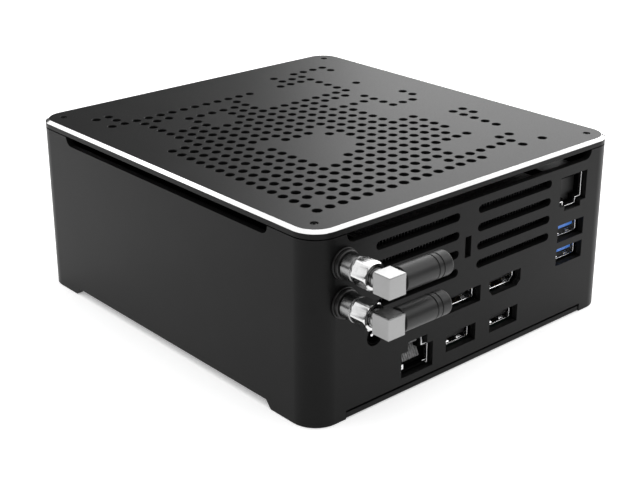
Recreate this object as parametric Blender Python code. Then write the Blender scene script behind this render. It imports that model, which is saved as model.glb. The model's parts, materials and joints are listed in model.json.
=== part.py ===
"""Mini PC in a low aluminium case, with a perforated lid, a rear port wall and two swivelling antennas.

Frame: +Z up, +Y to the rear port wall, +X to the side that carries the antennas.
The origin is under the middle of the whole object, antennas included, on the surface it stands on.
All sizes are in metres.
"""
import math

import bmesh
import bpy
from mathutils import Matrix, Vector

# ---------------------------------------------------------------- clearances
SEAM = 0.0003               # gap left between two pieces that touch
PORT_CLEARANCE = 0.0007     # gap round a connector in its cut-out
OVERSHOOT = 0.001           # how far a cutter runs past the face that it opens

# ---------------------------------------------------------------- case
CASE_WIDTH = 0.1500
CASE_DEPTH = 0.1622
CASE_HEIGHT = 0.0684
CORNER_RADIUS = 0.0095
WALL = 0.0025
LID_THICKNESS = 0.00285
LID_CHAMFER = 0.00135
CORNER_STANDOFF = 0.0002    # the case's corners end this far above the rubber feet
CORNER_BLOCK = 0.0095       # side of the screw block in each corner
CORNER_BLOCK_HEIGHT = 0.0042

# long air gap in the top edge of all four walls
EDGE_SLOT_DEPTH = 0.0032
EDGE_SLOT_RADIUS = 0.0031
EDGE_SLOT_MARGIN_X = 0.0141     # from the case's side to the end of the front and rear slots
EDGE_SLOT_MARGIN_Y = 0.0215     # from the case's end to the end of the side slots

# arches between the corner feet of the case
ARCH_HEIGHT = 0.00295
ARCH_RAMP = 0.0024
ARCH_MARGIN_X = 0.0144
ARCH_MARGIN_Y = 0.0211
REAR_NOTCH_HEIGHT = 0.0033

# ---------------------------------------------------------------- lid perforation
HOLE_DIAMETER = 0.0034
HOLE_SIDES = 6
HOLE_MARGIN_LOW_X = 0.0188      # lid edge to the first column, on the -X side
HOLE_MARGIN_HIGH_X = 0.0151
HOLE_MARGIN_FRONT = 0.0192
HOLE_MARGIN_REAR = 0.0151
HOLE_COLUMNS = 22
# Punched columns of each row, rear row first, as (first column, last column) from the -X side.
HOLE_ROWS = (
    ((1, 1), (3, 3), (7, 21)),
    ((3, 9), (11, 19), (21, 21)),
    ((2, 3), (8, 21)),
    ((8, 21),),
    ((1, 1), (4, 21)),
    ((1, 1), (5, 21)),
    ((1, 1), (4, 13), (16, 21)),
    ((0, 1), (4, 11), (16, 21)),
    ((0, 1), (4, 10), (16, 21)),
    ((4, 10), (16, 21)),
    ((6, 11), (16, 21)),
    ((6, 10), (12, 14), (17, 21)),
    ((1, 3), (6, 21)),
    ((0, 0), (3, 3), (6, 21)),
    ((0, 0), (3, 21)),
    ((3, 3), (7, 19)),
    ((4, 19),),
    ((3, 13), (16, 19)),
    ((1, 1), (3, 3), (11, 13), (16, 16), (19, 19)),
    ((3, 3), (11, 16), (19, 19)),
    ((3, 3), (11, 11), (17, 19)),
    ((3, 6), (9, 21)),
    ((0, 0), (3, 5), (20, 20)),
    ((0, 3), (5, 5), (20, 21)),
)
HUB_COLUMN = 13.05              # the solid disc in the perforation, over the fan's hub
HUB_ROW = 8.5

# ---------------------------------------------------------------- fasteners
SCREW_INSET_X = 0.0075          # case side to the corner screws
SCREW_INSET_Y = 0.0078
SCREW_HEAD_RADIUS = 0.0011
SCREW_HEAD_HEIGHT = 0.0010
SCREW_SHANK_RADIUS = 0.0008
SCREW_GRIP = 0.0030             # length of shank in the case
SCREW_SINK = 0.0003             # the lid screws sit this far under the lid's face

# ---------------------------------------------------------------- base
BASE_UNDERSIDE = 0.0031
BASE_THICKNESS = 0.0012
LIP_TOP = 0.0023                # rear lip of the base, which closes the notch in the rear wall
LIP_BOTTOM = 0.0004
LIP_WEB = 0.0018
FOOT_RADIUS = 0.0060
FOOT_INSET_X = 0.0230
FOOT_INSET_Y = 0.0200
STUD_RADIUS = 0.0025
STUD_INSET_X = 0.0185
STUD_INSET_Y = 0.0300
PEG_RADIUS = 0.0012
FOOT_EDGE = 0.0004
BASE_VENT_COUNT = 7
BASE_VENT_LENGTH = 0.0340
BASE_VENT_WIDTH = 0.0025
BASE_VENT_PITCH = 0.0060
BASE_VENT_Y = -0.0280           # from the case's middle

# ---------------------------------------------------------------- boards
BOARD_UNDERSIDE = 0.0194
BOARD_THICKNESS = 0.0016
BOARD_EDGE_GAP = 0.0010
IO_BOARD_THICKNESS = 0.0012
IO_BOARD_DEPTH = 0.0300
IO_BOARD_MARGIN = 0.0040        # the lower board runs this far past its sockets
IO_STUD_RADIUS = 0.0020

# ---------------------------------------------------------------- rear wall: air slots
VENT_ROWS = 4
VENT_HEIGHT = 0.0031
VENT_TOP_GAP = 0.0061           # highest slot to the top edge of the case
VENT_SILL = 0.0022              # underside of the fin stack to the lowest slot
VENT_MARGIN_LOW_X = 0.0363      # case side to the nearest slot end, on the -X side
VENT_MARGIN_HIGH_X = 0.0267
VENT_WEB = 0.0092               # solid strip between the two columns of slots
LOCK_SLOT_WIDTH = 0.0030
LOCK_SLOT_HEIGHT = 0.0077
LOCK_SLOT_SILL = 0.0057         # above the lowest air slot

# ---------------------------------------------------------------- connectors
# Heights of the sockets that stand on the mainboard are counted from its upper face.
PORT_RECESS = 0.0030            # connector faces sit this far inside the wall's outer face
LAN_RECESS = 0.0018
JACK_RECESS = 0.0003
SHELL_GAUGE = 0.0005            # sheet thickness of a connector's shell
USB_WIDTH = 0.0150              # cut-out
USB_HEIGHT = 0.0067
USB_DEPTH = 0.0170
USB_CAVITY = 0.0150             # depths of the cavities are counted from the wall's outer face
TONGUE_WIDTH = 0.0112
TONGUE_THICKNESS = 0.0019
TONGUE_LENGTH = 0.0110
USB2_X = (0.0065, -0.0160)
USB2_Z = 0.0116
STACK_INSET = 0.0234            # case side to the middle of the LAN and USB column
STACK_DEPTH = 0.0210
STACK_SETBACK = 0.0015          # the stack's body stops this far short of the wall
STACK_MARGIN = 0.0007           # the stack's body stands out this far past its ports
USB3_HEIGHTS = (0.0060, 0.0153)
LAN_WIDTH = 0.0151
LAN_HEIGHT = 0.0113             # without the latch notch
LAN_LATCH_WIDTH = 0.0092
LAN_LATCH_HEIGHT = 0.0021
LAN_WALL = 0.0016
LAN_CAVITY = 0.0160
UPPER_LAN_SILL = 0.02585
LOWER_LAN_X = 0.0281
LOWER_LAN_BOTTOM = 0.00585
LOWER_LAN_HEIGHT = 0.0093
LOWER_LAN_LATCH_HEIGHT = 0.0034
LOWER_LAN_DEPTH = 0.0200
DISPLAY_X = 0.0061
DISPLAY_ABOVE_BOARD = 0.00485
DISPLAY_WIDTH = 0.0178
DISPLAY_HEIGHT = 0.0062
HDMI_X = -0.01585
HDMI_ABOVE_BOARD = 0.0048
HDMI_WIDTH = 0.0167
HDMI_HEIGHT = 0.0063
HDMI_BEVEL = 0.0019
VIDEO_DEPTH = 0.0125
VIDEO_CAVITY = 0.0115
VIDEO_TONGUE_THICKNESS = 0.0012
VIDEO_TONGUE_LENGTH = 0.0070
DC_INSET = 0.0267               # case side to the middle of the power jack
DC_ABOVE_BOARD = 0.0052
DC_HOLE_RADIUS = 0.0035
DC_BODY_WIDTH = 0.0094
DC_DEPTH = 0.0130
DC_BORE_RADIUS = 0.0026
DC_BORE_DEPTH = 0.0095
DC_PIN_RADIUS = 0.0009

# ---------------------------------------------------------------- front wall
FRONT_ABOVE_BOARD = 0.0080
BUTTON_INSET = 0.0250           # case side to the middle of the power button
BUTTON_RADIUS = 0.0060
BUTTON_TRAVEL = 0.0008
BUTTON_FLANGE = 0.0012
LIGHT_INSET = 0.0380
LIGHT_RADIUS = 0.0010
FRONT_USB_X = (0.0180, 0.0400)
AUDIO_X = 0.0000
AUDIO_HOLE_RADIUS = 0.0031
AUDIO_BORE_RADIUS = 0.00175
AUDIO_BODY_WIDTH = 0.0072
AUDIO_DEPTH = 0.0120

# ---------------------------------------------------------------- cooling
CPU_SIZE = (0.0420, 0.0280, 0.0030)
COLD_PLATE_SIZE = (0.0500, 0.0440, 0.0053)
COOLER_Y = -0.0150              # middle of the processor, from the case's middle
PIPE_WIDTH = 0.0080
PIPE_THICKNESS = 0.0030
PIPE_SPREAD = 0.0120            # middle of each heat pipe from the middle of the cold plate
PIPE_BEND_RADIUS = 0.0090
FIN_COUNT = 22
FIN_THICKNESS = 0.0008
FIN_DEPTH = 0.0120
FIN_BASE = 0.0012
FIN_TOP_GAP = 0.00745           # fins to the lid
ROTOR_RADIUS = 0.0340
ROTOR_CLEARANCE = 0.0025
ROTOR_DISC = 0.0012
HUB_RADIUS = 0.0135
BLADE_COUNT = 17
BLADE_THICKNESS = 0.0009
BLADE_INNER_RADIUS = 0.0200
BLADE_SWEEP = math.radians(26)
BLOWER_WALL = 0.0022
BLOWER_FLOOR = 0.0012
BLOWER_PIPE_GAP = 0.0029
BLOWER_TOP_GAP = 0.00585        # blower to the lid
MOTOR_RADIUS = 0.0100
MOTOR_HEIGHT = 0.0018
SPINDLE_RADIUS = 0.0015

# ---------------------------------------------------------------- memory, storage and radio
RAM_SIZE = (0.0676, 0.0300, 0.0012)
RAM_SOCKET_SIZE = (0.0710, 0.0070, 0.0044)
RAM_INSERTION = 0.0035
RAM_CHIP_SIZE = (0.0120, 0.0100, 0.0010)
RAM_CHIP_PITCH = 0.0155
RAM_X = 0.0160
RAM_Y = -0.0130                 # front face of the socket, from the case's middle
SSD_SIZE = (0.0220, 0.0800, 0.0022)
SSD_X = -0.0330
SSD_Y = 0.0050
SSD_DROP = 0.0060               # underside of the mainboard to the drive's lower face
SSD_CONNECTOR = 0.0060
RADIO_SIZE = (0.0220, 0.0300, 0.0022)
RADIO_INSET = 0.0190            # case side to the middle of the card
RADIO_Y = 0.0080
RADIO_HEIGHT = 0.0026           # board to the card's underside

# ---------------------------------------------------------------- antennas
ANTENNA_INSET = 0.0128          # case side to the swivel axes
ANTENNA_DROPS = (("upper", 0.0123), ("lower", 0.02575))     # lid's face down to the swivel axes
BARREL_RADIUS = 0.0031
BARREL_PROUD = 0.0075           # thread standing out of the wall
BARREL_TAIL = 0.0080            # length behind the wall
FLANGE_RADIUS = 0.0046
FLANGE_THICKNESS = 0.0020
TAIL_RADIUS = 0.0016
RING_NUT_RADIUS = 0.0053
RING_NUT_THICKNESS = 0.0021
COUPLING_START = 0.0028         # distances from the rear wall's face
COUPLING_HEX_START = 0.0078
COUPLING_HEX_END = 0.0141
COUPLING_COLLAR_RADIUS = 0.0044
COUPLING_ACROSS_FLATS = 0.0085
ELBOW_SIDE = 0.0072
ELBOW_CENTRE = 0.0201
ELBOW_EDGE = 0.0004
STUB_RADIUS = 0.0026
STUB_LENGTH = 0.0050
SLEEVE_RADIUS = 0.00415
SLEEVE_LENGTH = 0.0205
SLEEVE_END_RADIUS = 0.0012
SLEEVE_GROOVES = (0.0139, 0.01605)
GROOVE_WIDTH = 0.0005
GROOVE_DEPTH = 0.0003
LEAD_RADIUS = 0.00065
LEAD_SPACING = 0.0060

# ---------------------------------------------------------------- places that follow from the sizes
ANTENNA_REACH = ELBOW_CENTRE + max(SLEEVE_RADIUS, ELBOW_SIDE / 2)
REAR = (CASE_DEPTH - ANTENNA_REACH) / 2
FRONT = REAR - CASE_DEPTH
MIDDLE = (REAR + FRONT) / 2
SIDE = CASE_WIDTH / 2
REAR_INSIDE = REAR - WALL - SEAM
FRONT_INSIDE = FRONT + WALL + SEAM
LID_UNDERSIDE = CASE_HEIGHT - LID_THICKNESS
CASE_TOP = LID_UNDERSIDE - SEAM
BASE_TOP = BASE_UNDERSIDE + BASE_THICKNESS
BOARD_TOP = BOARD_UNDERSIDE + BOARD_THICKNESS
USB3_Z = tuple(BOARD_TOP + height for height in USB3_HEIGHTS)
UPPER_LAN_BOTTOM = BOARD_TOP + UPPER_LAN_SILL
DISPLAY_Z = BOARD_TOP + DISPLAY_ABOVE_BOARD
HDMI_Z = BOARD_TOP + HDMI_ABOVE_BOARD
DC_Z = BOARD_TOP + DC_ABOVE_BOARD
FRONT_Z = BOARD_TOP + FRONT_ABOVE_BOARD
ANTENNA_HEIGHTS = tuple((side, CASE_HEIGHT - drop) for side, drop in ANTENNA_DROPS)
IO_BOARD_TOP = USB2_Z - USB_HEIGHT / 2 + PORT_CLEARANCE - SEAM
STACK_X = STACK_INSET - SIDE
ANTENNA_X = SIDE - ANTENNA_INSET
DC_X = SIDE - DC_INSET
BUTTON_X = BUTTON_INSET - SIDE
LIGHT_X = LIGHT_INSET - SIDE
RADIO_X = SIDE - RADIO_INSET
PITCH_X = (CASE_WIDTH - HOLE_MARGIN_LOW_X - HOLE_MARGIN_HIGH_X) / (HOLE_COLUMNS - 1)
PITCH_Y = (CASE_DEPTH - HOLE_MARGIN_FRONT - HOLE_MARGIN_REAR) / (len(HOLE_ROWS) - 1)
FAN_X = HOLE_MARGIN_LOW_X - SIDE + HUB_COLUMN * PITCH_X
FAN_Y = REAR - HOLE_MARGIN_REAR - HUB_ROW * PITCH_Y
VENT_LENGTH = (CASE_WIDTH - VENT_MARGIN_LOW_X - VENT_MARGIN_HIGH_X - VENT_WEB) / 2
VENT_STARTS = (VENT_MARGIN_LOW_X - SIDE, VENT_MARGIN_LOW_X - SIDE + VENT_LENGTH + VENT_WEB)
COOLER_X = (VENT_STARTS[0] + VENT_STARTS[1] + VENT_LENGTH) / 2
COLD_PLATE_TOP = BOARD_TOP + SEAM + CPU_SIZE[2] + SEAM + COLD_PLATE_SIZE[2]
PIPE_BOTTOM = COLD_PLATE_TOP + SEAM
FIN_BOTTOM = PIPE_BOTTOM + PIPE_THICKNESS + SEAM
FIN_TOP = LID_UNDERSIDE - FIN_TOP_GAP
BLOWER_BOTTOM = PIPE_BOTTOM + PIPE_THICKNESS + BLOWER_PIPE_GAP
BLOWER_TOP = LID_UNDERSIDE - BLOWER_TOP_GAP
BLOWER_HALF = ROTOR_RADIUS + ROTOR_CLEARANCE + BLOWER_WALL
VENT_LOWEST = FIN_BOTTOM + VENT_SILL
VENT_PITCH = (CASE_TOP - VENT_TOP_GAP - VENT_HEIGHT - VENT_LOWEST) / (VENT_ROWS - 1)

ROUND = 20                      # sides of a small round piece
CORNER_STEPS = 8                # segments in a quarter turn of the case's corners


# ---------------------------------------------------------------- solids
def finish_shape(shape):
    """Point every face outward."""
    bmesh.ops.recalc_face_normals(shape, faces=shape.faces)
    return shape


def place_point(u, v, along, axis):
    """A point of an outline drawn across an axis: (x, y), (x, z) or (y, z) and the distance along it."""
    if axis == "z":
        return (u, v, along)
    if axis == "y":
        return (u, along, v)
    return (along, u, v)


def loft(sections, axis):
    """Closed solid through outlines with equal point counts, given as (outline, distance) pairs."""
    shape = bmesh.new()
    loops = []
    for outline, along in sections:
        loops.append([shape.verts.new(place_point(u, v, along, axis)) for u, v in outline])
    count = len(loops[0])
    for lower, upper in zip(loops, loops[1:]):
        for i in range(count):
            j = (i + 1) % count
            shape.faces.new((lower[i], lower[j], upper[j], upper[i]))
    shape.faces.new(loops[0])
    shape.faces.new(loops[-1])
    return finish_shape(shape)


def prism(outline, low, high, axis="z"):
    return loft(((outline, low), (outline, high)), axis)


def box(x_low, x_high, y_low, y_high, z_low, z_high):
    corners = ((x_low, y_low), (x_high, y_low), (x_high, y_high), (x_low, y_high))
    return prism(corners, z_low, z_high)


def centred_box(centre_x, centre_y, size, z_low):
    width, depth, height = size
    return box(centre_x - width / 2, centre_x + width / 2,
               centre_y - depth / 2, centre_y + depth / 2, z_low, z_low + height)


def rod(centre, radius, low, high, axis, sides=ROUND):
    return prism(circle(*centre, radius, sides), low, high, axis)


def turned(profile, centre, axis, sides=ROUND):
    """Solid of revolution. Profile points are (radius, distance along the axis); one that starts
    and ends on the axis is a plain solid, any other profile is a closed ring."""
    shape = bmesh.new()
    rings = []
    for radius, along in profile:
        if radius == 0.0:
            rings.append([shape.verts.new(place_point(*centre, along, axis))] * sides)
        else:
            points = circle(*centre, radius, sides)
            rings.append([shape.verts.new(place_point(u, v, along, axis)) for u, v in points])
    pairs = list(zip(rings, rings[1:]))
    if profile[0][0] > 0.0:
        pairs.append((rings[-1], rings[0]))
    for first, second in pairs:
        for i in range(sides):
            j = (i + 1) % sides
            corners = dict.fromkeys((first[i], first[j], second[j], second[i]))
            shape.faces.new(tuple(corners))
    return finish_shape(shape)


# ---------------------------------------------------------------- outlines
def circle(centre_u, centre_v, radius, sides=ROUND, turn=0.0):
    points = []
    for i in range(sides):
        angle = turn + 2 * math.pi * i / sides
        points.append((centre_u + radius * math.cos(angle), centre_v + radius * math.sin(angle)))
    return points


def rounded(u_low, u_high, v_low, v_high, radius, steps=CORNER_STEPS):
    """Rectangle with round corners."""
    corners = ((u_high, v_high), (u_low, v_high), (u_low, v_low), (u_high, v_low))
    inward = ((-1, -1), (1, -1), (1, 1), (-1, 1))
    points = []
    for quarter, ((u, v), (du, dv)) in enumerate(zip(corners, inward)):
        for i in range(steps + 1):
            angle = math.pi / 2 * (quarter + i / steps)
            points.append((u + du * radius + radius * math.cos(angle),
                           v + dv * radius + radius * math.sin(angle)))
    return points


def rectangle(centre_u, centre_v, width, height, grow=0.0):
    half_u = width / 2 + grow
    half_v = height / 2 + grow
    return [(centre_u - half_u, centre_v - half_v), (centre_u + half_u, centre_v - half_v),
            (centre_u + half_u, centre_v + half_v), (centre_u - half_u, centre_v + half_v)]


def stadium(u_low, u_high, v_low, v_high, steps=6):
    """Slot with round ends."""
    radius = (v_high - v_low) / 2
    middle = (v_high + v_low) / 2
    points = []
    for centre, start in ((u_high - radius, -math.pi / 2), (u_low + radius, math.pi / 2)):
        for i in range(steps + 1):
            angle = start + math.pi * i / steps
            points.append((centre + radius * math.cos(angle), middle + radius * math.sin(angle)))
    return points


def case_outline(inset):
    """Plan of the case, drawn in by an inset."""
    return rounded(-SIDE + inset, SIDE - inset, FRONT + inset, REAR - inset, CORNER_RADIUS - inset)


def lan_outline(centre_x, bottom, height, latch_height, grow=0.0):
    """Cut-out of a LAN socket. A positive latch height puts the latch notch above, a negative below."""
    half = LAN_WIDTH / 2 + grow
    latch = LAN_LATCH_WIDTH / 2 + grow
    low = bottom - grow
    high = bottom + height + grow
    if latch_height > 0:
        tip = high + latch_height
        right = [(half, low), (half, high), (latch, high), (latch, tip)]
    else:
        tip = low + latch_height
        right = [(latch, tip), (latch, low), (half, low), (half, high)]
    return [(centre_x + u, v) for u, v in right] + [(centre_x - u, v) for u, v in reversed(right)]


def hdmi_outline(grow=0.0):
    """Both lower corners are drawn in."""
    half = HDMI_WIDTH / 2 + grow
    low = HDMI_Z - HDMI_HEIGHT / 2 - grow
    high = HDMI_Z + HDMI_HEIGHT / 2 + grow
    right = [(half - HDMI_BEVEL, low), (half, low + HDMI_BEVEL), (half, high)]
    return [(HDMI_X + u, v) for u, v in right] + [(HDMI_X - u, v) for u, v in reversed(right)]


def display_outline(grow=0.0):
    """The lower corner nearer the antennas is drawn in."""
    half = DISPLAY_WIDTH / 2 + grow
    low = DISPLAY_Z - DISPLAY_HEIGHT / 2 - grow
    high = DISPLAY_Z + DISPLAY_HEIGHT / 2 + grow
    points = [(half - HDMI_BEVEL, low), (half, low + HDMI_BEVEL), (half, high), (-half, high), (-half, low)]
    return [(DISPLAY_X + u, v) for u, v in points]


# ---------------------------------------------------------------- objects
def material(name, colour, roughness, metallic):
    result = bpy.data.materials.new(name)
    result.use_nodes = True
    shader = result.node_tree.nodes["Principled BSDF"]
    shader.inputs["Base Color"].default_value = (*colour, 1.0)
    shader.inputs["Roughness"].default_value = roughness
    shader.inputs["Metallic"].default_value = metallic
    return result


def add_object(name, shape, finish, origin=(0.0, 0.0, 0.0)):
    """Object with its origin at a chosen point of the model."""
    bmesh.ops.translate(shape, vec=-Vector(origin), verts=shape.verts)
    mesh = bpy.data.meshes.new(name)
    shape.to_mesh(mesh)
    shape.free()
    mesh.materials.append(finish)
    mesh.shade_smooth()
    mesh.set_sharp_from_angle(angle=math.radians(31))
    result = bpy.data.objects.new(name, mesh)
    result.location = origin
    bpy.context.scene.collection.objects.link(result)
    return result


def join_shapes(shapes):
    joined = bmesh.new()
    scratch = bpy.data.meshes.new("scratch")
    for shape in shapes:
        shape.to_mesh(scratch)
        shape.free()
        joined.from_mesh(scratch)
    bpy.data.meshes.remove(scratch)
    return joined


def combine(target, shapes, operation, label):
    """Boolean with guide solids that don't touch one another."""
    guide = add_object(f"{label}_{target.name}", join_shapes(shapes), target.data.materials[0])
    guide.hide_render = True
    guide.display_type = "WIRE"
    step = target.modifiers.new(label, "BOOLEAN")
    step.operation = operation
    step.solver = "EXACT"
    step.object = guide


def cut(target, shapes, label="cut"):
    combine(target, shapes, "DIFFERENCE", label)


def weld(target, shapes, label="weld"):
    combine(target, shapes, "UNION", label)


def mirror_signs():
    return ((1, 1), (-1, 1), (-1, -1), (1, -1))


# ---------------------------------------------------------------- case
def edge_slot(half_length):
    """Open-topped slot with round lower corners, across a wall."""
    low = CASE_TOP - EDGE_SLOT_DEPTH
    radius = EDGE_SLOT_RADIUS
    steps = 6
    points = [(half_length, CASE_TOP + OVERSHOOT), (-half_length, CASE_TOP + OVERSHOOT)]
    for centre, start in ((radius - half_length, math.pi), (half_length - radius, 1.5 * math.pi)):
        for i in range(steps + 1):
            angle = start + math.pi / 2 * i / steps
            points.append((centre + radius * math.cos(angle), low + radius + radius * math.sin(angle)))
    return points


def arch(half_length, height):
    return [(-half_length, -OVERSHOOT), (half_length, -OVERSHOOT), (half_length, CORNER_STANDOFF),
            (half_length - ARCH_RAMP, height), (ARCH_RAMP - half_length, height),
            (-half_length, CORNER_STANDOFF)]


def across_case(outline, middle=0.0):
    """Cut both side walls, with the outline's first coordinate along Y."""
    shifted = [(u + middle, v) for u, v in outline]
    return prism(shifted, -SIDE - OVERSHOOT, SIDE + OVERSHOOT, "x")


def through_rear(outline):
    return prism(outline, REAR - WALL - OVERSHOOT, REAR + OVERSHOOT, "y")


def through_front(outline):
    return prism(outline, FRONT - OVERSHOOT, FRONT + WALL + OVERSHOOT, "y")


def make_case(finish):
    case = add_object("body_shell", prism(case_outline(0.0), CORNER_STANDOFF, CASE_TOP), finish)
    half_x = SIDE - WALL
    block_x = half_x - CORNER_BLOCK
    low_y = FRONT + WALL
    high_y = REAR - WALL
    cross = [(half_x, low_y + CORNER_BLOCK), (half_x, high_y - CORNER_BLOCK),
             (block_x, high_y - CORNER_BLOCK), (block_x, high_y),
             (-block_x, high_y), (-block_x, high_y - CORNER_BLOCK),
             (-half_x, high_y - CORNER_BLOCK), (-half_x, low_y + CORNER_BLOCK),
             (-block_x, low_y + CORNER_BLOCK), (-block_x, low_y),
             (block_x, low_y), (block_x, low_y + CORNER_BLOCK)]
    cut(case, [prism(cross, -OVERSHOOT, CASE_TOP + OVERSHOOT)], "bore")
    block_low = BASE_TOP + SEAM
    cut(case, [prism(case_outline(WALL), -OVERSHOOT, block_low),
               prism(case_outline(WALL), block_low + CORNER_BLOCK_HEIGHT,
                     CASE_TOP - CORNER_BLOCK_HEIGHT)], "waist")

    # air gap under the lid, and the arches between the feet
    side_slot = edge_slot(CASE_DEPTH / 2 - EDGE_SLOT_MARGIN_Y)
    end_slot = edge_slot(SIDE - EDGE_SLOT_MARGIN_X)
    side_arch = arch(CASE_DEPTH / 2 - ARCH_MARGIN_Y, ARCH_HEIGHT)
    end_half = SIDE - ARCH_MARGIN_X
    cut(case, [across_case(side_slot, MIDDLE), across_case(side_arch, MIDDLE)], "sides")
    rear_notch = [(-end_half, -OVERSHOOT), (end_half, -OVERSHOOT),
                  (end_half, REAR_NOTCH_HEIGHT), (-end_half, REAR_NOTCH_HEIGHT)]
    cut(case, [through_rear(end_slot), through_rear(rear_notch),
               through_front(end_slot), through_front(arch(end_half, ARCH_HEIGHT))], "ends")
    cut(case, [through_rear(outline) for outline in rear_outlines()], "ports")
    cut(case, [through_front(outline) for outline in front_outlines()], "front")
    holes = []
    for x, y in screw_places():
        radius = SCREW_SHANK_RADIUS + SEAM
        depth = SCREW_GRIP + SEAM
        holes.append(rod((x, y), radius, CASE_TOP - depth, CASE_TOP + OVERSHOOT, "z", 12))
        holes.append(rod((x, y), radius, block_low - OVERSHOOT, block_low + depth, "z", 12))
    cut(case, holes, "threads")
    return case


def rear_outlines():
    """Every opening in the rear wall but the edge slot."""
    outlines = []
    for start in VENT_STARTS:
        for row in range(VENT_ROWS):
            low = VENT_LOWEST + row * VENT_PITCH
            outlines.append(stadium(start, start + VENT_LENGTH, low, low + VENT_HEIGHT))
    lock_x = VENT_STARTS[1] - VENT_WEB / 2
    lock_z = VENT_LOWEST + LOCK_SLOT_SILL + LOCK_SLOT_HEIGHT / 2
    outlines.append(rectangle(lock_x, lock_z, LOCK_SLOT_WIDTH, LOCK_SLOT_HEIGHT))
    outlines.append(lan_outline(STACK_X, UPPER_LAN_BOTTOM, LAN_HEIGHT, -LAN_LATCH_HEIGHT))
    outlines.append(lan_outline(LOWER_LAN_X, LOWER_LAN_BOTTOM, LOWER_LAN_HEIGHT, LOWER_LAN_LATCH_HEIGHT))
    for z in USB3_Z:
        outlines.append(rectangle(STACK_X, z, USB_WIDTH, USB_HEIGHT))
    for x in USB2_X:
        outlines.append(rectangle(x, USB2_Z, USB_WIDTH, USB_HEIGHT))
    outlines.append(hdmi_outline())
    outlines.append(display_outline())
    outlines.append(circle(DC_X, DC_Z, DC_HOLE_RADIUS))
    for _, z in ANTENNA_HEIGHTS:
        outlines.append(circle(ANTENNA_X, z, BARREL_RADIUS + SEAM))
    return outlines


def front_outlines():
    outlines = [rectangle(x, FRONT_Z, USB_WIDTH, USB_HEIGHT) for x in FRONT_USB_X]
    outlines.append(circle(BUTTON_X, FRONT_Z, BUTTON_RADIUS + SEAM))
    outlines.append(circle(LIGHT_X, FRONT_Z, LIGHT_RADIUS + SEAM, 12))
    outlines.append(circle(AUDIO_X, FRONT_Z, AUDIO_HOLE_RADIUS))
    return outlines


def screw_places():
    """The four corner screw axes, seen from above."""
    half_x = SIDE - SCREW_INSET_X
    half_y = CASE_DEPTH / 2 - SCREW_INSET_Y
    return [(sx * half_x, MIDDLE + sy * half_y) for sx, sy in mirror_signs()]


def make_lid(finish):
    lid = add_object("top_cover", loft(((case_outline(0.0), LID_UNDERSIDE),
                                        (case_outline(0.0), CASE_HEIGHT - LID_CHAMFER),
                                        (case_outline(LID_CHAMFER), CASE_HEIGHT)), "z"), finish)
    low = LID_UNDERSIDE - OVERSHOOT
    high = CASE_HEIGHT + OVERSHOOT
    punches = []
    for row, spans in enumerate(HOLE_ROWS):
        y = REAR - HOLE_MARGIN_REAR - row * PITCH_Y
        for first, last in spans:
            for column in range(first, last + 1):
                x = HOLE_MARGIN_LOW_X - SIDE + column * PITCH_X
                punches.append(rod((x, y), HOLE_DIAMETER / 2, low, high, "z", HOLE_SIDES))
    cut(lid, punches, "punch")
    seat = CASE_HEIGHT - SCREW_SINK - SCREW_HEAD_HEIGHT - SEAM
    sinks = [rod(place, SCREW_HEAD_RADIUS + SEAM, seat, high, "z", 16) for place in screw_places()]
    cut(lid, sinks, "sink")
    shanks = [rod(place, SCREW_SHANK_RADIUS + SEAM, low, seat + OVERSHOOT, "z", 12)
              for place in screw_places()]
    cut(lid, shanks, "shank")
    return lid


def make_screws(finish):
    for number, (x, y) in enumerate(screw_places(), 1):
        head_top = CASE_HEIGHT - SCREW_SINK
        head_low = head_top - SCREW_HEAD_HEIGHT
        profile = ((0.0, CASE_TOP - SCREW_GRIP), (SCREW_SHANK_RADIUS, CASE_TOP - SCREW_GRIP),
                   (SCREW_SHANK_RADIUS, head_low), (SCREW_HEAD_RADIUS, head_low),
                   (SCREW_HEAD_RADIUS, head_top), (0.0, head_top))
        add_object(f"lid_screw_{number}", turned(profile, (x, y), "z", 12), finish)
        top = BASE_TOP + SEAM + SCREW_GRIP
        head_high = BASE_UNDERSIDE - SEAM
        profile = ((0.0, top), (SCREW_SHANK_RADIUS, top), (SCREW_SHANK_RADIUS, head_high),
                   (SCREW_HEAD_RADIUS, head_high), (SCREW_HEAD_RADIUS, head_high - SCREW_HEAD_HEIGHT),
                   (0.0, head_high - SCREW_HEAD_HEIGHT))
        add_object(f"base_screw_{number}", turned(profile, (x, y), "z", 12), finish)


# ---------------------------------------------------------------- base
def stud_places():
    half_x = SIDE - STUD_INSET_X
    half_y = CASE_DEPTH / 2 - STUD_INSET_Y
    return [(sx * half_x, MIDDLE + sy * half_y) for sx, sy in mirror_signs()]


def io_stud_places():
    x_low, x_high = io_board_span()
    y = REAR_INSIDE - IO_BOARD_DEPTH + IO_STUD_RADIUS + BOARD_EDGE_GAP
    inset = IO_STUD_RADIUS + BOARD_EDGE_GAP
    return [(x_low + inset, y), (x_high - inset, y)]


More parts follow.
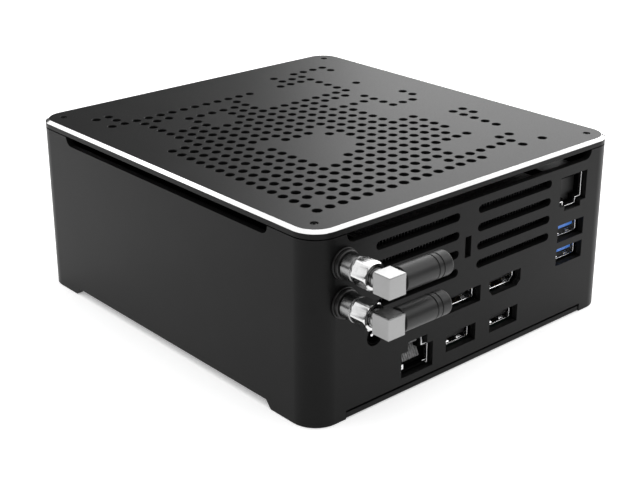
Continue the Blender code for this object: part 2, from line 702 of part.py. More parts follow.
def make_base(finish):
    base = add_object("bottom_cover", prism(case_outline(WALL + SEAM), BASE_UNDERSIDE, BASE_TOP), finish)
    lip_half = SIDE - ARCH_MARGIN_X - SEAM
    web_low = REAR_INSIDE - LIP_WEB
    lip = [(web_low, LIP_BOTTOM), (REAR - SEAM, LIP_BOTTOM), (REAR - SEAM, LIP_TOP),
           (REAR_INSIDE, LIP_TOP), (REAR_INSIDE, BASE_TOP - SEAM), (web_low, BASE_TOP - SEAM)]
    weld(base, [prism(lip, -lip_half, lip_half, "x")], "lip")
    studs = []
    for place in stud_places():
        profile = ((0.0, BASE_TOP - SEAM), (STUD_RADIUS, BASE_TOP - SEAM),
                   (STUD_RADIUS, BOARD_UNDERSIDE - SEAM), (PEG_RADIUS, BOARD_UNDERSIDE - SEAM),
                   (PEG_RADIUS, BOARD_TOP + OVERSHOOT), (0.0, BOARD_TOP + OVERSHOOT))
        studs.append(turned(profile, place, "z", 12))
    io_underside = IO_BOARD_TOP - IO_BOARD_THICKNESS
    for place in io_stud_places():
        studs.append(rod(place, IO_STUD_RADIUS, BASE_TOP - SEAM, io_underside - SEAM, "z", 12))
    weld(base, studs, "studs")
    openings = [rod(place, SCREW_SHANK_RADIUS + SEAM, 0.0, BASE_TOP + OVERSHOOT, "z", 12)
                for place in screw_places()]
    first = -(BASE_VENT_COUNT - 1) / 2
    for i in range(BASE_VENT_COUNT):
        x = (first + i) * BASE_VENT_PITCH
        openings.append(centred_box(x, MIDDLE + BASE_VENT_Y,
                                    (BASE_VENT_WIDTH, BASE_VENT_LENGTH, BASE_TOP + OVERSHOOT), 0.0))
    cut(base, openings, "openings")


def make_feet(finish):
    for number, (sx, sy) in enumerate(mirror_signs(), 1):
        place = (sx * (SIDE - FOOT_INSET_X), MIDDLE + sy * (CASE_DEPTH / 2 - FOOT_INSET_Y))
        profile = ((0.0, 0.0), (FOOT_RADIUS - FOOT_EDGE, 0.0), (FOOT_RADIUS, FOOT_EDGE),
                   (FOOT_RADIUS, BASE_UNDERSIDE - SEAM), (0.0, BASE_UNDERSIDE - SEAM))
        add_object(f"rubber_foot_{number}", turned(profile, place, "z"), finish)


# ---------------------------------------------------------------- boards
def io_board_span():
    """The lower board runs under both USB sockets and past the LAN socket."""
    x_low = USB2_X[1] - USB_WIDTH / 2 - IO_BOARD_MARGIN
    return x_low, LOWER_LAN_X + LAN_WIDTH / 2 + IO_BOARD_MARGIN


def make_boards(finish):
    board = add_object("mainboard", prism(case_outline(WALL + BOARD_EDGE_GAP), BOARD_UNDERSIDE, BOARD_TOP),
                       finish)
    pegs = [rod(place, PEG_RADIUS + SEAM, BOARD_UNDERSIDE - OVERSHOOT, BOARD_TOP + OVERSHOOT, "z", 12)
            for place in stud_places()]
    cut(board, pegs, "pegs")
    x_low, x_high = io_board_span()
    io_low = IO_BOARD_TOP - IO_BOARD_THICKNESS
    io_board = add_object("io_board", box(x_low, x_high, REAR_INSIDE - IO_BOARD_DEPTH, REAR_INSIDE - SEAM,
                                          io_low, IO_BOARD_TOP), finish)
    half = LAN_WIDTH / 2 + SEAM
    bay_low = REAR_INSIDE - LOWER_LAN_DEPTH - SEAM
    cut(io_board, [box(LOWER_LAN_X - half, LOWER_LAN_X + half, bay_low, REAR,
                       io_low - OVERSHOOT, IO_BOARD_TOP + OVERSHOOT)], "bay")


def make_memory(board_finish, socket_finish):
    socket_y = MIDDLE + RAM_Y
    width, depth, height = RAM_SOCKET_SIZE
    socket_low = BOARD_UNDERSIDE - SEAM - height
    socket = add_object("ram_socket", box(RAM_X - width / 2, RAM_X + width / 2, socket_y, socket_y + depth,
                                          socket_low, socket_low + height), socket_finish)
    module_x, module_y, thickness = RAM_SIZE
    module_low = socket_low + (height - thickness) / 2
    slot = box(RAM_X - module_x / 2 - SEAM, RAM_X + module_x / 2 + SEAM, socket_y - OVERSHOOT,
               socket_y + RAM_INSERTION + SEAM, module_low - SEAM, module_low + thickness + SEAM)
    cut(socket, [slot], "slot")
    back = socket_y + RAM_INSERTION
    plate = box(RAM_X - module_x / 2, RAM_X + module_x / 2, back - module_y, back,
                module_low, module_low + thickness)
    module = add_object("ram_module", plate, board_finish)
    chips = []
    for i in range(4):
        x = RAM_X + (i - 1.5) * RAM_CHIP_PITCH
        chips.append(centred_box(x, back - module_y / 2 - RAM_INSERTION, RAM_CHIP_SIZE,
                                 module_low - RAM_CHIP_SIZE[2] + SEAM))
    weld(module, chips, "chips")

    ssd_y = MIDDLE + SSD_Y
    drive_low = BOARD_UNDERSIDE - SSD_DROP
    drive = add_object("ssd_module", centred_box(SSD_X, ssd_y, SSD_SIZE, drive_low), board_finish)
    low = drive_low + SSD_SIZE[2] / 2
    end = ssd_y - SSD_SIZE[1] / 2
    weld(drive, [box(SSD_X - SSD_SIZE[0] / 2 + SEAM, SSD_X + SSD_SIZE[0] / 2 - SEAM,
                     end + SEAM, end + SSD_CONNECTOR, low, BOARD_UNDERSIDE - SEAM)], "connector")

    radio_low = BOARD_TOP + RADIO_HEIGHT
    radio_y = MIDDLE + RADIO_Y
    card = add_object("wifi_card", centred_box(RADIO_X, radio_y, RADIO_SIZE, radio_low), board_finish)
    end = radio_y - RADIO_SIZE[1] / 2
    weld(card, [box(RADIO_X - RADIO_SIZE[0] / 2 + SEAM, RADIO_X + RADIO_SIZE[0] / 2 - SEAM,
                    end + SEAM, end + SSD_CONNECTOR, BOARD_TOP + SEAM,
                    radio_low + RADIO_SIZE[2] / 2)], "connector")


# ---------------------------------------------------------------- connectors
def rear_connector(name, body, depth, cavity_outline, cavity, finish):
    """Socket behind the rear wall. Its body is (lowest X, highest X, lowest Z, highest Z)."""
    x_low, x_high, z_low, z_high = body
    face = REAR - PORT_RECESS
    socket = add_object(name, box(x_low, x_high, face - depth, face, z_low, z_high), finish)
    cut(socket, [prism(cavity_outline, REAR - cavity, REAR + OVERSHOOT, "y")], "cavity")


def make_tongue(name, outline, cavity, length, finish):
    back = REAR - cavity + SEAM
    add_object(name, prism(outline, back, back + length, "y"), finish)


def usb_body(x, z, seat):
    """Body of a USB socket standing on a board whose face is at a given height."""
    half = USB_WIDTH / 2 - PORT_CLEARANCE
    return (x - half, x + half, seat + SEAM, z + USB_HEIGHT / 2 - PORT_CLEARANCE)


def usb_mouth(x, z):
    return rectangle(x, z, USB_WIDTH, USB_HEIGHT, -PORT_CLEARANCE - SHELL_GAUGE)


def make_usb2(shell, insulator):
    for number, x in enumerate(USB2_X, 1):
        rear_connector(f"usb2_port_{number}", usb_body(x, USB2_Z, IO_BOARD_TOP), USB_DEPTH,
                       usb_mouth(x, USB2_Z), USB_CAVITY, shell)
        make_tongue(f"usb2_tongue_{number}", rectangle(x, USB2_Z, TONGUE_WIDTH, TONGUE_THICKNESS),
                    USB_CAVITY, TONGUE_LENGTH, insulator)


def make_stack(shell, blue):
    """LAN socket over two USB 3 sockets in one housing."""
    half = USB_WIDTH / 2 + STACK_MARGIN
    top = UPPER_LAN_BOTTOM + LAN_HEIGHT + STACK_MARGIN
    front = REAR_INSIDE - STACK_SETBACK
    stack = add_object("lan_usb_stack", box(STACK_X - half, STACK_X + half, REAR_INSIDE - STACK_DEPTH,
                                            front, BOARD_TOP + SEAM, top), shell)
    lan = lan_outline(STACK_X, UPPER_LAN_BOTTOM, LAN_HEIGHT, -LAN_LATCH_HEIGHT, -PORT_CLEARANCE)
    noses = [prism(lan, front - WALL, REAR - LAN_RECESS, "y")]
    mouth = lan_outline(STACK_X, UPPER_LAN_BOTTOM, LAN_HEIGHT, -LAN_LATCH_HEIGHT, -LAN_WALL)
    cavities = [prism(mouth, REAR - LAN_CAVITY, REAR + OVERSHOOT, "y")]
    for z in USB3_Z:
        nose = rectangle(STACK_X, z, USB_WIDTH, USB_HEIGHT, -PORT_CLEARANCE)
        noses.append(prism(nose, front - WALL, REAR - PORT_RECESS, "y"))
        cavities.append(prism(usb_mouth(STACK_X, z), REAR - USB_CAVITY, REAR + OVERSHOOT, "y"))
    weld(stack, noses, "noses")
    cut(stack, cavities, "cavities")
    for name, z in zip(("usb3_tongue_lower", "usb3_tongue_upper"), USB3_Z):
        middle = z + TONGUE_THICKNESS / 2 - SEAM
        make_tongue(name, rectangle(STACK_X, middle, TONGUE_WIDTH, TONGUE_THICKNESS),
                    USB_CAVITY, TONGUE_LENGTH, blue)


def make_video(shell, insulator):
    half = HDMI_WIDTH / 2 - PORT_CLEARANCE
    top = HDMI_Z + HDMI_HEIGHT / 2 - PORT_CLEARANCE
    rear_connector("hdmi_port", (HDMI_X - half, HDMI_X + half, BOARD_TOP + SEAM, top), VIDEO_DEPTH,
                   hdmi_outline(-PORT_CLEARANCE - SHELL_GAUGE), VIDEO_CAVITY, shell)
    make_tongue("hdmi_tongue", rectangle(HDMI_X, HDMI_Z, TONGUE_WIDTH, VIDEO_TONGUE_THICKNESS),
                VIDEO_CAVITY, VIDEO_TONGUE_LENGTH, insulator)
    half = DISPLAY_WIDTH / 2 - PORT_CLEARANCE
    top = DISPLAY_Z + DISPLAY_HEIGHT / 2 - PORT_CLEARANCE
    rear_connector("display_port", (DISPLAY_X - half, DISPLAY_X + half, BOARD_TOP + SEAM, top), VIDEO_DEPTH,
                   display_outline(-PORT_CLEARANCE - SHELL_GAUGE), VIDEO_CAVITY, shell)
    make_tongue("display_tongue", rectangle(DISPLAY_X, DISPLAY_Z, TONGUE_WIDTH, VIDEO_TONGUE_THICKNESS),
                VIDEO_CAVITY, VIDEO_TONGUE_LENGTH, insulator)


def make_lower_lan(shell):
    nose = lan_outline(LOWER_LAN_X, LOWER_LAN_BOTTOM, LOWER_LAN_HEIGHT, LOWER_LAN_LATCH_HEIGHT,
                       -PORT_CLEARANCE)
    socket = add_object("lan_port", prism(nose, REAR_INSIDE - LOWER_LAN_DEPTH, REAR - LAN_RECESS, "y"), shell)
    inner = lan_outline(LOWER_LAN_X, LOWER_LAN_BOTTOM, LOWER_LAN_HEIGHT, LOWER_LAN_LATCH_HEIGHT, -LAN_WALL)
    cut(socket, [prism(inner, REAR - LAN_CAVITY, REAR + OVERSHOOT, "y")], "cavity")


def make_power_inlet(plastic):
    """Barrel jack with a contact pin on the axis of its bore."""
    half = DC_BODY_WIDTH / 2
    body = box(DC_X - half, DC_X + half, REAR_INSIDE - DC_DEPTH, REAR_INSIDE,
               BOARD_TOP + SEAM, DC_Z + half)
    jack = add_object("dc_jack", body, plastic)
    axis = (DC_X, DC_Z)
    weld(jack, [rod(axis, DC_HOLE_RADIUS - SEAM, REAR_INSIDE - WALL, REAR - JACK_RECESS, "y")], "nose")
    floor = REAR - DC_BORE_DEPTH
    bore = ((DC_PIN_RADIUS, REAR + OVERSHOOT), (DC_PIN_RADIUS, floor),
            (DC_BORE_RADIUS, floor), (DC_BORE_RADIUS, REAR + OVERSHOOT))
    cut(jack, [turned(bore, axis, "y", 16)], "bore")


def make_front_sockets(shell, plastic):
    """Two USB sockets and a headset socket behind the front wall."""
    face = FRONT + PORT_RECESS
    for number, x in enumerate(FRONT_USB_X, 1):
        x_low, x_high, z_low, z_high = usb_body(x, FRONT_Z, BOARD_TOP)
        socket = add_object(f"front_usb_{number}", box(x_low, x_high, face, face + USB_DEPTH,
                                                       z_low, z_high), shell)
        cut(socket, [prism(usb_mouth(x, FRONT_Z), FRONT - OVERSHOOT, FRONT + USB_CAVITY, "y")], "cavity")
        blade = rectangle(x, FRONT_Z, TONGUE_WIDTH, TONGUE_THICKNESS)
        tip = FRONT + USB_CAVITY - TONGUE_LENGTH
        weld(socket, [prism(blade, tip, FRONT + USB_CAVITY + OVERSHOOT, "y")], "tongue")
    half = AUDIO_BODY_WIDTH / 2
    body = box(AUDIO_X - half, AUDIO_X + half, FRONT_INSIDE, FRONT_INSIDE + AUDIO_DEPTH,
               BOARD_TOP + SEAM, FRONT_Z + half)
    audio = add_object("audio_jack", body, plastic)
    axis = (AUDIO_X, FRONT_Z)
    weld(audio, [rod(axis, AUDIO_HOLE_RADIUS - SEAM, FRONT + JACK_RECESS, FRONT_INSIDE + WALL, "y")], "nose")
    cut(audio, [rod(axis, AUDIO_BORE_RADIUS, FRONT - OVERSHOOT, FRONT_INSIDE + AUDIO_DEPTH - WALL, "y", 16)],
        "bore")


def make_power_button(finish, clear):
    """The button is kept in by its flange; its origin is on its line of travel."""
    flange_face = FRONT_INSIDE
    flange_back = flange_face + BUTTON_FLANGE
    stem = BUTTON_RADIUS / 2
    stem_back = flange_back + 2 * BUTTON_TRAVEL
    profile = ((0.0, FRONT + SEAM), (BUTTON_RADIUS - SEAM, FRONT + SEAM),
               (BUTTON_RADIUS, FRONT + 2 * SEAM), (BUTTON_RADIUS, flange_face),
               (BUTTON_RADIUS + BUTTON_FLANGE, flange_face), (BUTTON_RADIUS + BUTTON_FLANGE, flange_back),
               (stem, flange_back), (stem, stem_back), (0.0, stem_back))
    add_object("power_button", turned(profile, (BUTTON_X, FRONT_Z), "y", 24), finish,
               (BUTTON_X, FRONT, FRONT_Z))
    rod_end = FRONT_INSIDE + 3 * WALL
    profile = ((0.0, FRONT + SEAM), (LIGHT_RADIUS, FRONT + SEAM), (LIGHT_RADIUS, FRONT_INSIDE),
               (2 * LIGHT_RADIUS, FRONT_INSIDE), (2 * LIGHT_RADIUS, rod_end), (0.0, rod_end))
    add_object("power_light", turned(profile, (LIGHT_X, FRONT_Z), "y", 12), clear)


# ---------------------------------------------------------------- cooling
def bent_strip(start, corner_y, end_x, width, radius):
    """Plan of a flat strip that runs along +Y and then turns along X to its end."""
    x, y = start
    side = 1 if end_x > x else -1
    steps = 8
    centre = (x + side * radius, corner_y - radius)
    outer = [(x - side * width / 2, y)]
    inner = [(x + side * width / 2, y)]
    for i in range(steps + 1):
        angle = math.pi / 2 * i / steps
        for line, reach in ((outer, radius + width / 2), (inner, radius - width / 2)):
            line.append((centre[0] - side * reach * math.cos(angle), centre[1] + reach * math.sin(angle)))
    outer.append((end_x, corner_y + width / 2))
    inner.append((end_x, corner_y - width / 2))
    return outer + inner[::-1]


def make_cooler(silicon, copper, aluminium):
    y = MIDDLE + COOLER_Y
    cpu_low = BOARD_TOP + SEAM
    add_object("cpu", centred_box(COOLER_X, y, CPU_SIZE, cpu_low), silicon)
    add_object("cold_plate", centred_box(COOLER_X, y, COLD_PLATE_SIZE, cpu_low + CPU_SIZE[2] + SEAM), copper)
    fin_low = VENT_STARTS[0]
    fin_high = VENT_STARTS[1] + VENT_LENGTH
    turn_y = REAR_INSIDE - FIN_DEPTH / 2
    reach = PIPE_WIDTH
    start_y = y - COLD_PLATE_SIZE[1] / 2 + PIPE_WIDTH / 2
    for name, side, end_x in (("heat_pipe_1", 1, fin_high - reach), ("heat_pipe_2", -1, fin_low + reach)):
        outline = bent_strip((COOLER_X + side * PIPE_SPREAD, start_y), turn_y, end_x,
                             PIPE_WIDTH, PIPE_BEND_RADIUS)
        add_object(name, prism(outline, PIPE_BOTTOM, PIPE_BOTTOM + PIPE_THICKNESS), copper)

    back = REAR_INSIDE - SEAM
    fins = add_object("fin_stack", box(fin_low, fin_high, back - FIN_DEPTH, back,
                                       FIN_BOTTOM, FIN_BOTTOM + FIN_BASE), aluminium)
    pitch = (fin_high - fin_low - FIN_THICKNESS) / (FIN_COUNT - 1)
    blades = []
    for i in range(FIN_COUNT):
        left = fin_low + i * pitch
        blades.append(box(left, left + FIN_THICKNESS, back - FIN_DEPTH, back,
                          FIN_BOTTOM + FIN_BASE / 2, FIN_TOP))
    weld(fins, blades, "fins")


def make_blower(plastic, metal):
    """Radial blower that draws air through the lid and drives it through the fins."""
    centre = (FAN_X, FAN_Y)
    chamber = ROTOR_RADIUS + ROTOR_CLEARANCE
    half = BLOWER_HALF
    outlet_y = REAR_INSIDE - FIN_DEPTH - 2 * SEAM
    floor = BLOWER_BOTTOM + BLOWER_FLOOR
    housing = add_object("blower_housing", box(FAN_X - half, FAN_X + half, FAN_Y - half, outlet_y,
                                               BLOWER_BOTTOM, BLOWER_TOP), plastic)
    throat = [(FAN_X - chamber * 0.8, FAN_Y), (FAN_X + chamber * 0.8, FAN_Y),
              (FAN_X + chamber * 0.8, outlet_y + OVERSHOOT), (FAN_X - chamber * 0.8, outlet_y + OVERSHOOT)]
    cut(housing, [rod(centre, chamber, floor, BLOWER_TOP + OVERSHOOT, "z", 40)], "chamber")
    cut(housing, [prism(throat, floor + SEAM / 2, BLOWER_TOP + 2 * OVERSHOOT)], "throat")

    motor_top = floor + SEAM + MOTOR_HEIGHT
    spindle_top = motor_top + SEAM + ROTOR_DISC + 0.010
    profile = ((0.0, floor + SEAM), (MOTOR_RADIUS, floor + SEAM), (MOTOR_RADIUS, motor_top),
               (SPINDLE_RADIUS, motor_top), (SPINDLE_RADIUS, spindle_top), (0.0, spindle_top))
    add_object("blower_motor", turned(profile, centre, "z"), metal)

    disc_low = motor_top + SEAM
    hub_top = BLOWER_TOP - 2 * SEAM
    bore = SPINDLE_RADIUS + SEAM
    profile = ((0.0, spindle_top + SEAM), (bore, spindle_top + SEAM), (bore, disc_low),
               (ROTOR_RADIUS, disc_low), (ROTOR_RADIUS, disc_low + ROTOR_DISC),
               (HUB_RADIUS, disc_low + ROTOR_DISC), (HUB_RADIUS, hub_top), (0.0, hub_top))
    rotor = add_object("blower_rotor", turned(profile, centre, "z", 36), plastic,
                       (FAN_X, FAN_Y, disc_low))
    blades = []
    for i in range(BLADE_COUNT):
        angle = 2 * math.pi * i / BLADE_COUNT
        inner = Vector((BLADE_INNER_RADIUS, 0.0))
        outer = Vector((math.cos(BLADE_SWEEP), math.sin(BLADE_SWEEP))) * (ROTOR_RADIUS - SEAM)
        across = (outer - inner).orthogonal().normalized() * BLADE_THICKNESS / 2
        turn = Matrix.Rotation(angle, 2)
        outline = [turn @ corner + Vector(centre) for corner in
                   (inner - across, outer - across, outer + across, inner + across)]
        blades.append(prism(outline, disc_low + ROTOR_DISC / 2, hub_top - SEAM))
    weld(rotor, blades, "blades")


# ---------------------------------------------------------------- antennas
def hexagon(centre_x, centre_z, across_flats):
    """Hexagon with one flat up."""
    return circle(centre_x, centre_z, across_flats / math.sqrt(3), 6)


def make_antenna(side, z, silver, dark, rubber):
    """Threaded socket in the rear wall, its ring nut, and the antenna that swivels on it."""
    axis = (ANTENNA_X, z)
    flange_front = REAR_INSIDE
    flange_back = flange_front - FLANGE_THICKNESS
    tail_end = REAR - WALL - BARREL_TAIL
    tail_start = flange_back - FLANGE_THICKNESS
    profile = ((0.0, tail_end), (TAIL_RADIUS, tail_end), (TAIL_RADIUS, tail_start),
               (BARREL_RADIUS, tail_start), (BARREL_RADIUS, flange_back), (FLANGE_RADIUS, flange_back),
               (FLANGE_RADIUS, flange_front), (BARREL_RADIUS, flange_front),
               (BARREL_RADIUS, REAR + BARREL_PROUD), (0.0, REAR + BARREL_PROUD))
    add_object(f"antenna_socket_{side}", turned(profile, axis, "y"), silver)

    bore = BARREL_RADIUS + SEAM
    ring_low = REAR + SEAM
    ring_high = ring_low + RING_NUT_THICKNESS
    profile = ((bore, ring_low), (RING_NUT_RADIUS, ring_low), (RING_NUT_RADIUS, ring_high - SEAM),
               (RING_NUT_RADIUS - SEAM, ring_high), (bore, ring_high))
    add_object(f"ring_nut_{side}", turned(profile, axis, "y", 24), dark)

    origin = (ANTENNA_X, REAR + ELBOW_CENTRE, z)
    hex_start = REAR + COUPLING_HEX_START
    hex_end = REAR + COUPLING_HEX_END
    nut = add_object(f"coupling_nut_{side}",
                     prism(hexagon(*axis, COUPLING_ACROSS_FLATS), hex_start, hex_end, "y"), silver, origin)
    weld(nut, [rod(axis, COUPLING_COLLAR_RADIUS, REAR + COUPLING_START, hex_start + SEAM, "y", 24)], "collar")
    cut(nut, [rod(axis, bore, REAR + COUPLING_START - OVERSHOOT, hex_end + OVERSHOOT, "y")], "bore")

    half = ELBOW_SIDE / 2
    cube = loft(((rounded(ANTENNA_X - half, ANTENNA_X + half, z - half, z + half, ELBOW_EDGE, 2),
                  origin[1] - half),
                 (rounded(ANTENNA_X - half, ANTENNA_X + half, z - half, z + half, ELBOW_EDGE, 2),
                  origin[1] + half - ELBOW_EDGE),
                 (rounded(ANTENNA_X - half + ELBOW_EDGE, ANTENNA_X + half - ELBOW_EDGE,
                          z - half + ELBOW_EDGE, z + half - ELBOW_EDGE, ELBOW_EDGE / 2, 2),
                  origin[1] + half)), "y")
    elbow = add_object(f"antenna_elbow_{side}", cube, silver, origin)
    neck = rod(axis, BARREL_RADIUS, REAR + BARREL_PROUD + SEAM, origin[1] - half + ELBOW_EDGE, "y")
    face = ANTENNA_X - half
    stub = rod((origin[1], z), STUB_RADIUS, face - STUB_LENGTH, face + ELBOW_EDGE, "x", 16)
    weld(elbow, [neck, stub], "spigots")

    start = face - SEAM
    tip = face - SLEEVE_LENGTH
    bore = STUB_RADIUS + SEAM
    profile = [(0.0, face - STUB_LENGTH - SEAM), (bore, face - STUB_LENGTH - SEAM), (bore, start),
               (SLEEVE_RADIUS, start)]
    for groove in SLEEVE_GROOVES:
        centre = face - groove
        floor = SLEEVE_RADIUS - GROOVE_DEPTH
        profile += [(SLEEVE_RADIUS, centre + GROOVE_WIDTH / 2), (floor, centre),
                    (SLEEVE_RADIUS, centre - GROOVE_WIDTH / 2)]
    steps = 4
    for i in range(steps + 1):
        angle = math.pi / 2 * i / steps
        profile.append((SLEEVE_RADIUS - SLEEVE_END_RADIUS * (1 - math.cos(angle)),
                        tip + SLEEVE_END_RADIUS * (1 - math.sin(angle))))
    profile.append((0.0, tip))
    add_object(f"antenna_sleeve_{side}", turned(profile, (origin[1], z), "x"), rubber, origin)


def smooth_route(points, spacing):
    """Points along a smooth curve through the route's own points."""
    ends = [points[0] * 2 - points[1]] + points + [points[-1] * 2 - points[-2]]
    route = []
    for before, start, end, after in zip(ends, ends[1:], ends[2:], ends[3:]):
        steps = max(1, round((end - start).length / spacing))
        for i in range(steps):
            t = i / steps
            route.append(0.5 * (2 * start + (end - before) * t
                                + (2 * before - 5 * start + 4 * end - after) * t ** 2
                                + (3 * start - before - 3 * end + after) * t ** 3))
    route.append(points[-1])
    return route


def make_lead(side, z, offset, finish):
    """Thin coaxial lead from an antenna socket, down between the blower and the case, to the radio card."""
    lane = (FAN_X + BLOWER_HALF + SIDE - WALL) / 2 + offset
    tail_end = REAR - WALL - BARREL_TAIL
    card_top = BOARD_TOP + RADIO_HEIGHT + RADIO_SIZE[2]
    card_y = MIDDLE + RADIO_Y + RADIO_SIZE[1] / 2
    points = [Vector((ANTENNA_X, tail_end - SEAM, z)),
              Vector((ANTENNA_X, tail_end - 0.006, z)),
              Vector((lane, tail_end - 0.014, z - 0.010)),
              Vector((lane, card_y + 0.012, card_top + 0.006)),
              Vector((RADIO_X + offset, card_y - 0.001, card_top + 2.2 * LEAD_RADIUS)),
              Vector((RADIO_X + offset, card_y - 0.006, card_top + LEAD_RADIUS + SEAM))]
    curve = bpy.data.curves.new(f"antenna_lead_{side}", "CURVE")
    curve.dimensions = "3D"
    curve.bevel_depth = LEAD_RADIUS
    curve.bevel_resolution = 2
    curve.use_fill_caps = True
    route = smooth_route(points, 0.0032)
    spline = curve.splines.new("POLY")
    spline.points.add(len(route) - 1)
    for point, place in zip(spline.points, route):
        point.co = (*place, 1.0)
    curve.materials.append(finish)
    lead = bpy.data.objects.new(f"antenna_lead_{side}", curve)
    bpy.context.scene.collection.objects.link(lead)


# ---------------------------------------------------------------- model
def build():
    for leftover in list(bpy.data.objects):
        bpy.data.objects.remove(leftover, do_unlink=True)
    black = material("black_anodised", (0.035, 0.035, 0.038), 0.42, 0.6)
    silver = material("polished_silver", (0.72, 0.72, 0.72), 0.18, 1.0)
    steel = material("plated_steel", (0.62, 0.62, 0.64), 0.28, 1.0)
    dark_steel = material("dark_steel", (0.05, 0.05, 0.055), 0.35, 0.8)
    rubber = material("black_rubber", (0.045, 0.045, 0.047), 0.55, 0.0)
    plastic = material("black_plastic", (0.02, 0.02, 0.022), 0.5, 0.0)
    blue = material("blue_plastic", (0.06, 0.22, 0.75), 0.4, 0.0)
    board = material("circuit_board", (0.02, 0.09, 0.05), 0.45, 0.0)
    copper = material("copper", (0.72, 0.36, 0.22), 0.3, 1.0)
    aluminium = material("fin_aluminium", (0.6, 0.6, 0.62), 0.35, 1.0)
    clear = material("light_pipe", (0.75, 0.82, 0.9), 0.2, 0.0)

    make_case(black)
    make_lid(black)
    make_base(black)
    make_screws(dark_steel)
    make_feet(rubber)
    make_boards(board)
    make_memory(board, plastic)
    make_usb2(steel, plastic)
    make_stack(steel, blue)
    make_video(steel, plastic)
    make_lower_lan(steel)
    make_power_inlet(plastic)
    make_front_sockets(steel, plastic)
    make_power_button(black, clear)
    make_cooler(dark_steel, copper, aluminium)
    make_blower(plastic, steel)
    for (side, z), offset in zip(ANTENNA_HEIGHTS, (LEAD_SPACING / 2, -LEAD_SPACING / 2)):
        make_antenna(side, z, silver, dark_steel, rubber)
        make_lead(side, z, offset, plastic)


build()
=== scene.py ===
"""Finished look of a mini PC with a perforated lid and two swivelling antennas.

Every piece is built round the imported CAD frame, in its axes and in metres: +Z up, +Y to the rear
port wall, +X to the side that carries the antennas.
"""
import json
import math

import bmesh
import bpy
from mathutils import Matrix, Vector

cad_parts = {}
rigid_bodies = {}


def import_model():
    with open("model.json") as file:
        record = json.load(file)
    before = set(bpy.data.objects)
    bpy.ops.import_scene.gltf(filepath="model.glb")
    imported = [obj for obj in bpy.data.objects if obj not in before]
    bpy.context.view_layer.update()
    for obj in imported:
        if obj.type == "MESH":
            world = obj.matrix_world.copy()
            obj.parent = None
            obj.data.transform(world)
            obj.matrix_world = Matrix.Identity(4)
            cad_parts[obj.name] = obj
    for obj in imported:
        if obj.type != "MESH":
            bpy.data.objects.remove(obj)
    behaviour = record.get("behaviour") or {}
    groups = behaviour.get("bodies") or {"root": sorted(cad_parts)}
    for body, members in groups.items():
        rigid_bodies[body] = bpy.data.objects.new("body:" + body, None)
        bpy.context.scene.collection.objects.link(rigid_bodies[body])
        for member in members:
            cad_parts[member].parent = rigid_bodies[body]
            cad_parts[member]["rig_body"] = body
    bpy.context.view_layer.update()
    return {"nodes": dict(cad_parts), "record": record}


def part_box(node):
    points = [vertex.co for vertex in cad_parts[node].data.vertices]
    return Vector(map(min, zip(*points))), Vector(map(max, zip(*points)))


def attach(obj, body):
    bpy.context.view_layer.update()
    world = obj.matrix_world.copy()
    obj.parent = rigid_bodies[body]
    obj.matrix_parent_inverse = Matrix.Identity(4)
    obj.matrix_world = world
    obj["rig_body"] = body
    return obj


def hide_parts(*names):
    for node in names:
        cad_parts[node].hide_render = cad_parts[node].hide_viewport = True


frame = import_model()
NODES = frame["nodes"]
SLOTS = {part["node"]: part["material_slot"] for part in frame["record"]["subparts"]}

# ---------------------------------------------------------------- case and lid
CORNER_RADIUS = 0.0095
CORNER_STEPS = 24
RIM_INSET = 0.00135         # width of the polished edge of the lid, seen from above
RIM_DROP = 0.00086          # and its height
RIM_LAND = 0.00012          # narrow flats above and below the polished edge
RIM_GAUGE = 0.00015         # inset of the plate and of the edge's own skin behind its face
WALL = 0.0025
BEHIND_WALL = 0.0003        # gap between the wall and what sits behind it
CASE_EDGE = 0.00018         # rounding of the case's machined edges
PLATE_EDGE = 0.00015        # and of the base plate's
FOOT_HOLLOW = 0.0006        # depth of the recess in a rubber foot
HOLE_SIDES = 28
HOLE_CHAMFER = 0.00016
HOLE_MOST_RADIUS = 0.0020   # a wider round opening isn't part of the perforation
HOLE_LEAST_RADIUS = 0.0015
SEAT_CLEARANCE = 0.0002     # round a lid screw's head
SEAT_DEPTH = 0.0013         # from the face of the head down to its seat
SEAT_BORE = 0.86            # hole under the seat, as a share of the head's radius
SCREW_HEAD = 0.0010         # length of a screw's head
SCREW_SHANK = 0.72          # shank and recess, as shares of the head's radius
SCREW_RECESS = 0.5
RECESS_DEPTH = 0.0006

# ---------------------------------------------------------------- connectors
USB_SHELL = (0.0136, 0.0053)
USB_CORNER = 0.0007
USB_GAUGE = 0.00035
USB_DEPTH = 0.0118          # mouth of a USB socket to the floor inside it
USB_CONTACT = 0.0010        # width of a long contact
PAD_WIDTH = 0.0008          # and of the short ones at a USB 3 tongue's tip
MOUTH_EDGE = 0.0001         # rounding of a shell's mouth
SPRING_WIDTH = 0.0021       # leaf springs inside a shell
SPRING_START = 0.0007       # their ends, measured from the mouth
SPRING_END = 0.0056
SHADE_RING_WIDTH = 0.0016       # rings of painted shade round the front USB sockets
SHADE_RING_GAUGE = 0.0006
TONGUE_RISE = 0.00065       # middle of a USB 3 tongue above the middle of its socket
VIDEO_GAUGE = 0.00035
VIDEO_BEVEL = 0.0017
VIDEO_CONTACTS = 10         # on each face of a tongue
VIDEO_PITCH = 0.0010
LAN_WIDTH = 0.0137
LAN_LATCH_WIDTH = 0.0078
LAN_GAUGE = 0.0004
LAN_LINER = 0.00115         # outside of a LAN socket to the inside of its plastic liner
LAN_WIRES = 8
STACK_USB_FACE = 0.0030     # rear wall's outer face to the mouths of the stack's USB sockets
STACK_BODY_FACE = 0.0044    # and to the front of its plastic body
STACK_LAN_HEIGHT = 0.0099
STACK_LAN_LATCH = -0.0021
STACK_LAN_DROP = 0.0014     # top of the stack to the top of its LAN socket
LOWER_LAN_HEIGHT = 0.0079
LOWER_LAN_LATCH = 0.0034
CONTACT_PITCH = 0.00102     # of a LAN socket's contacts

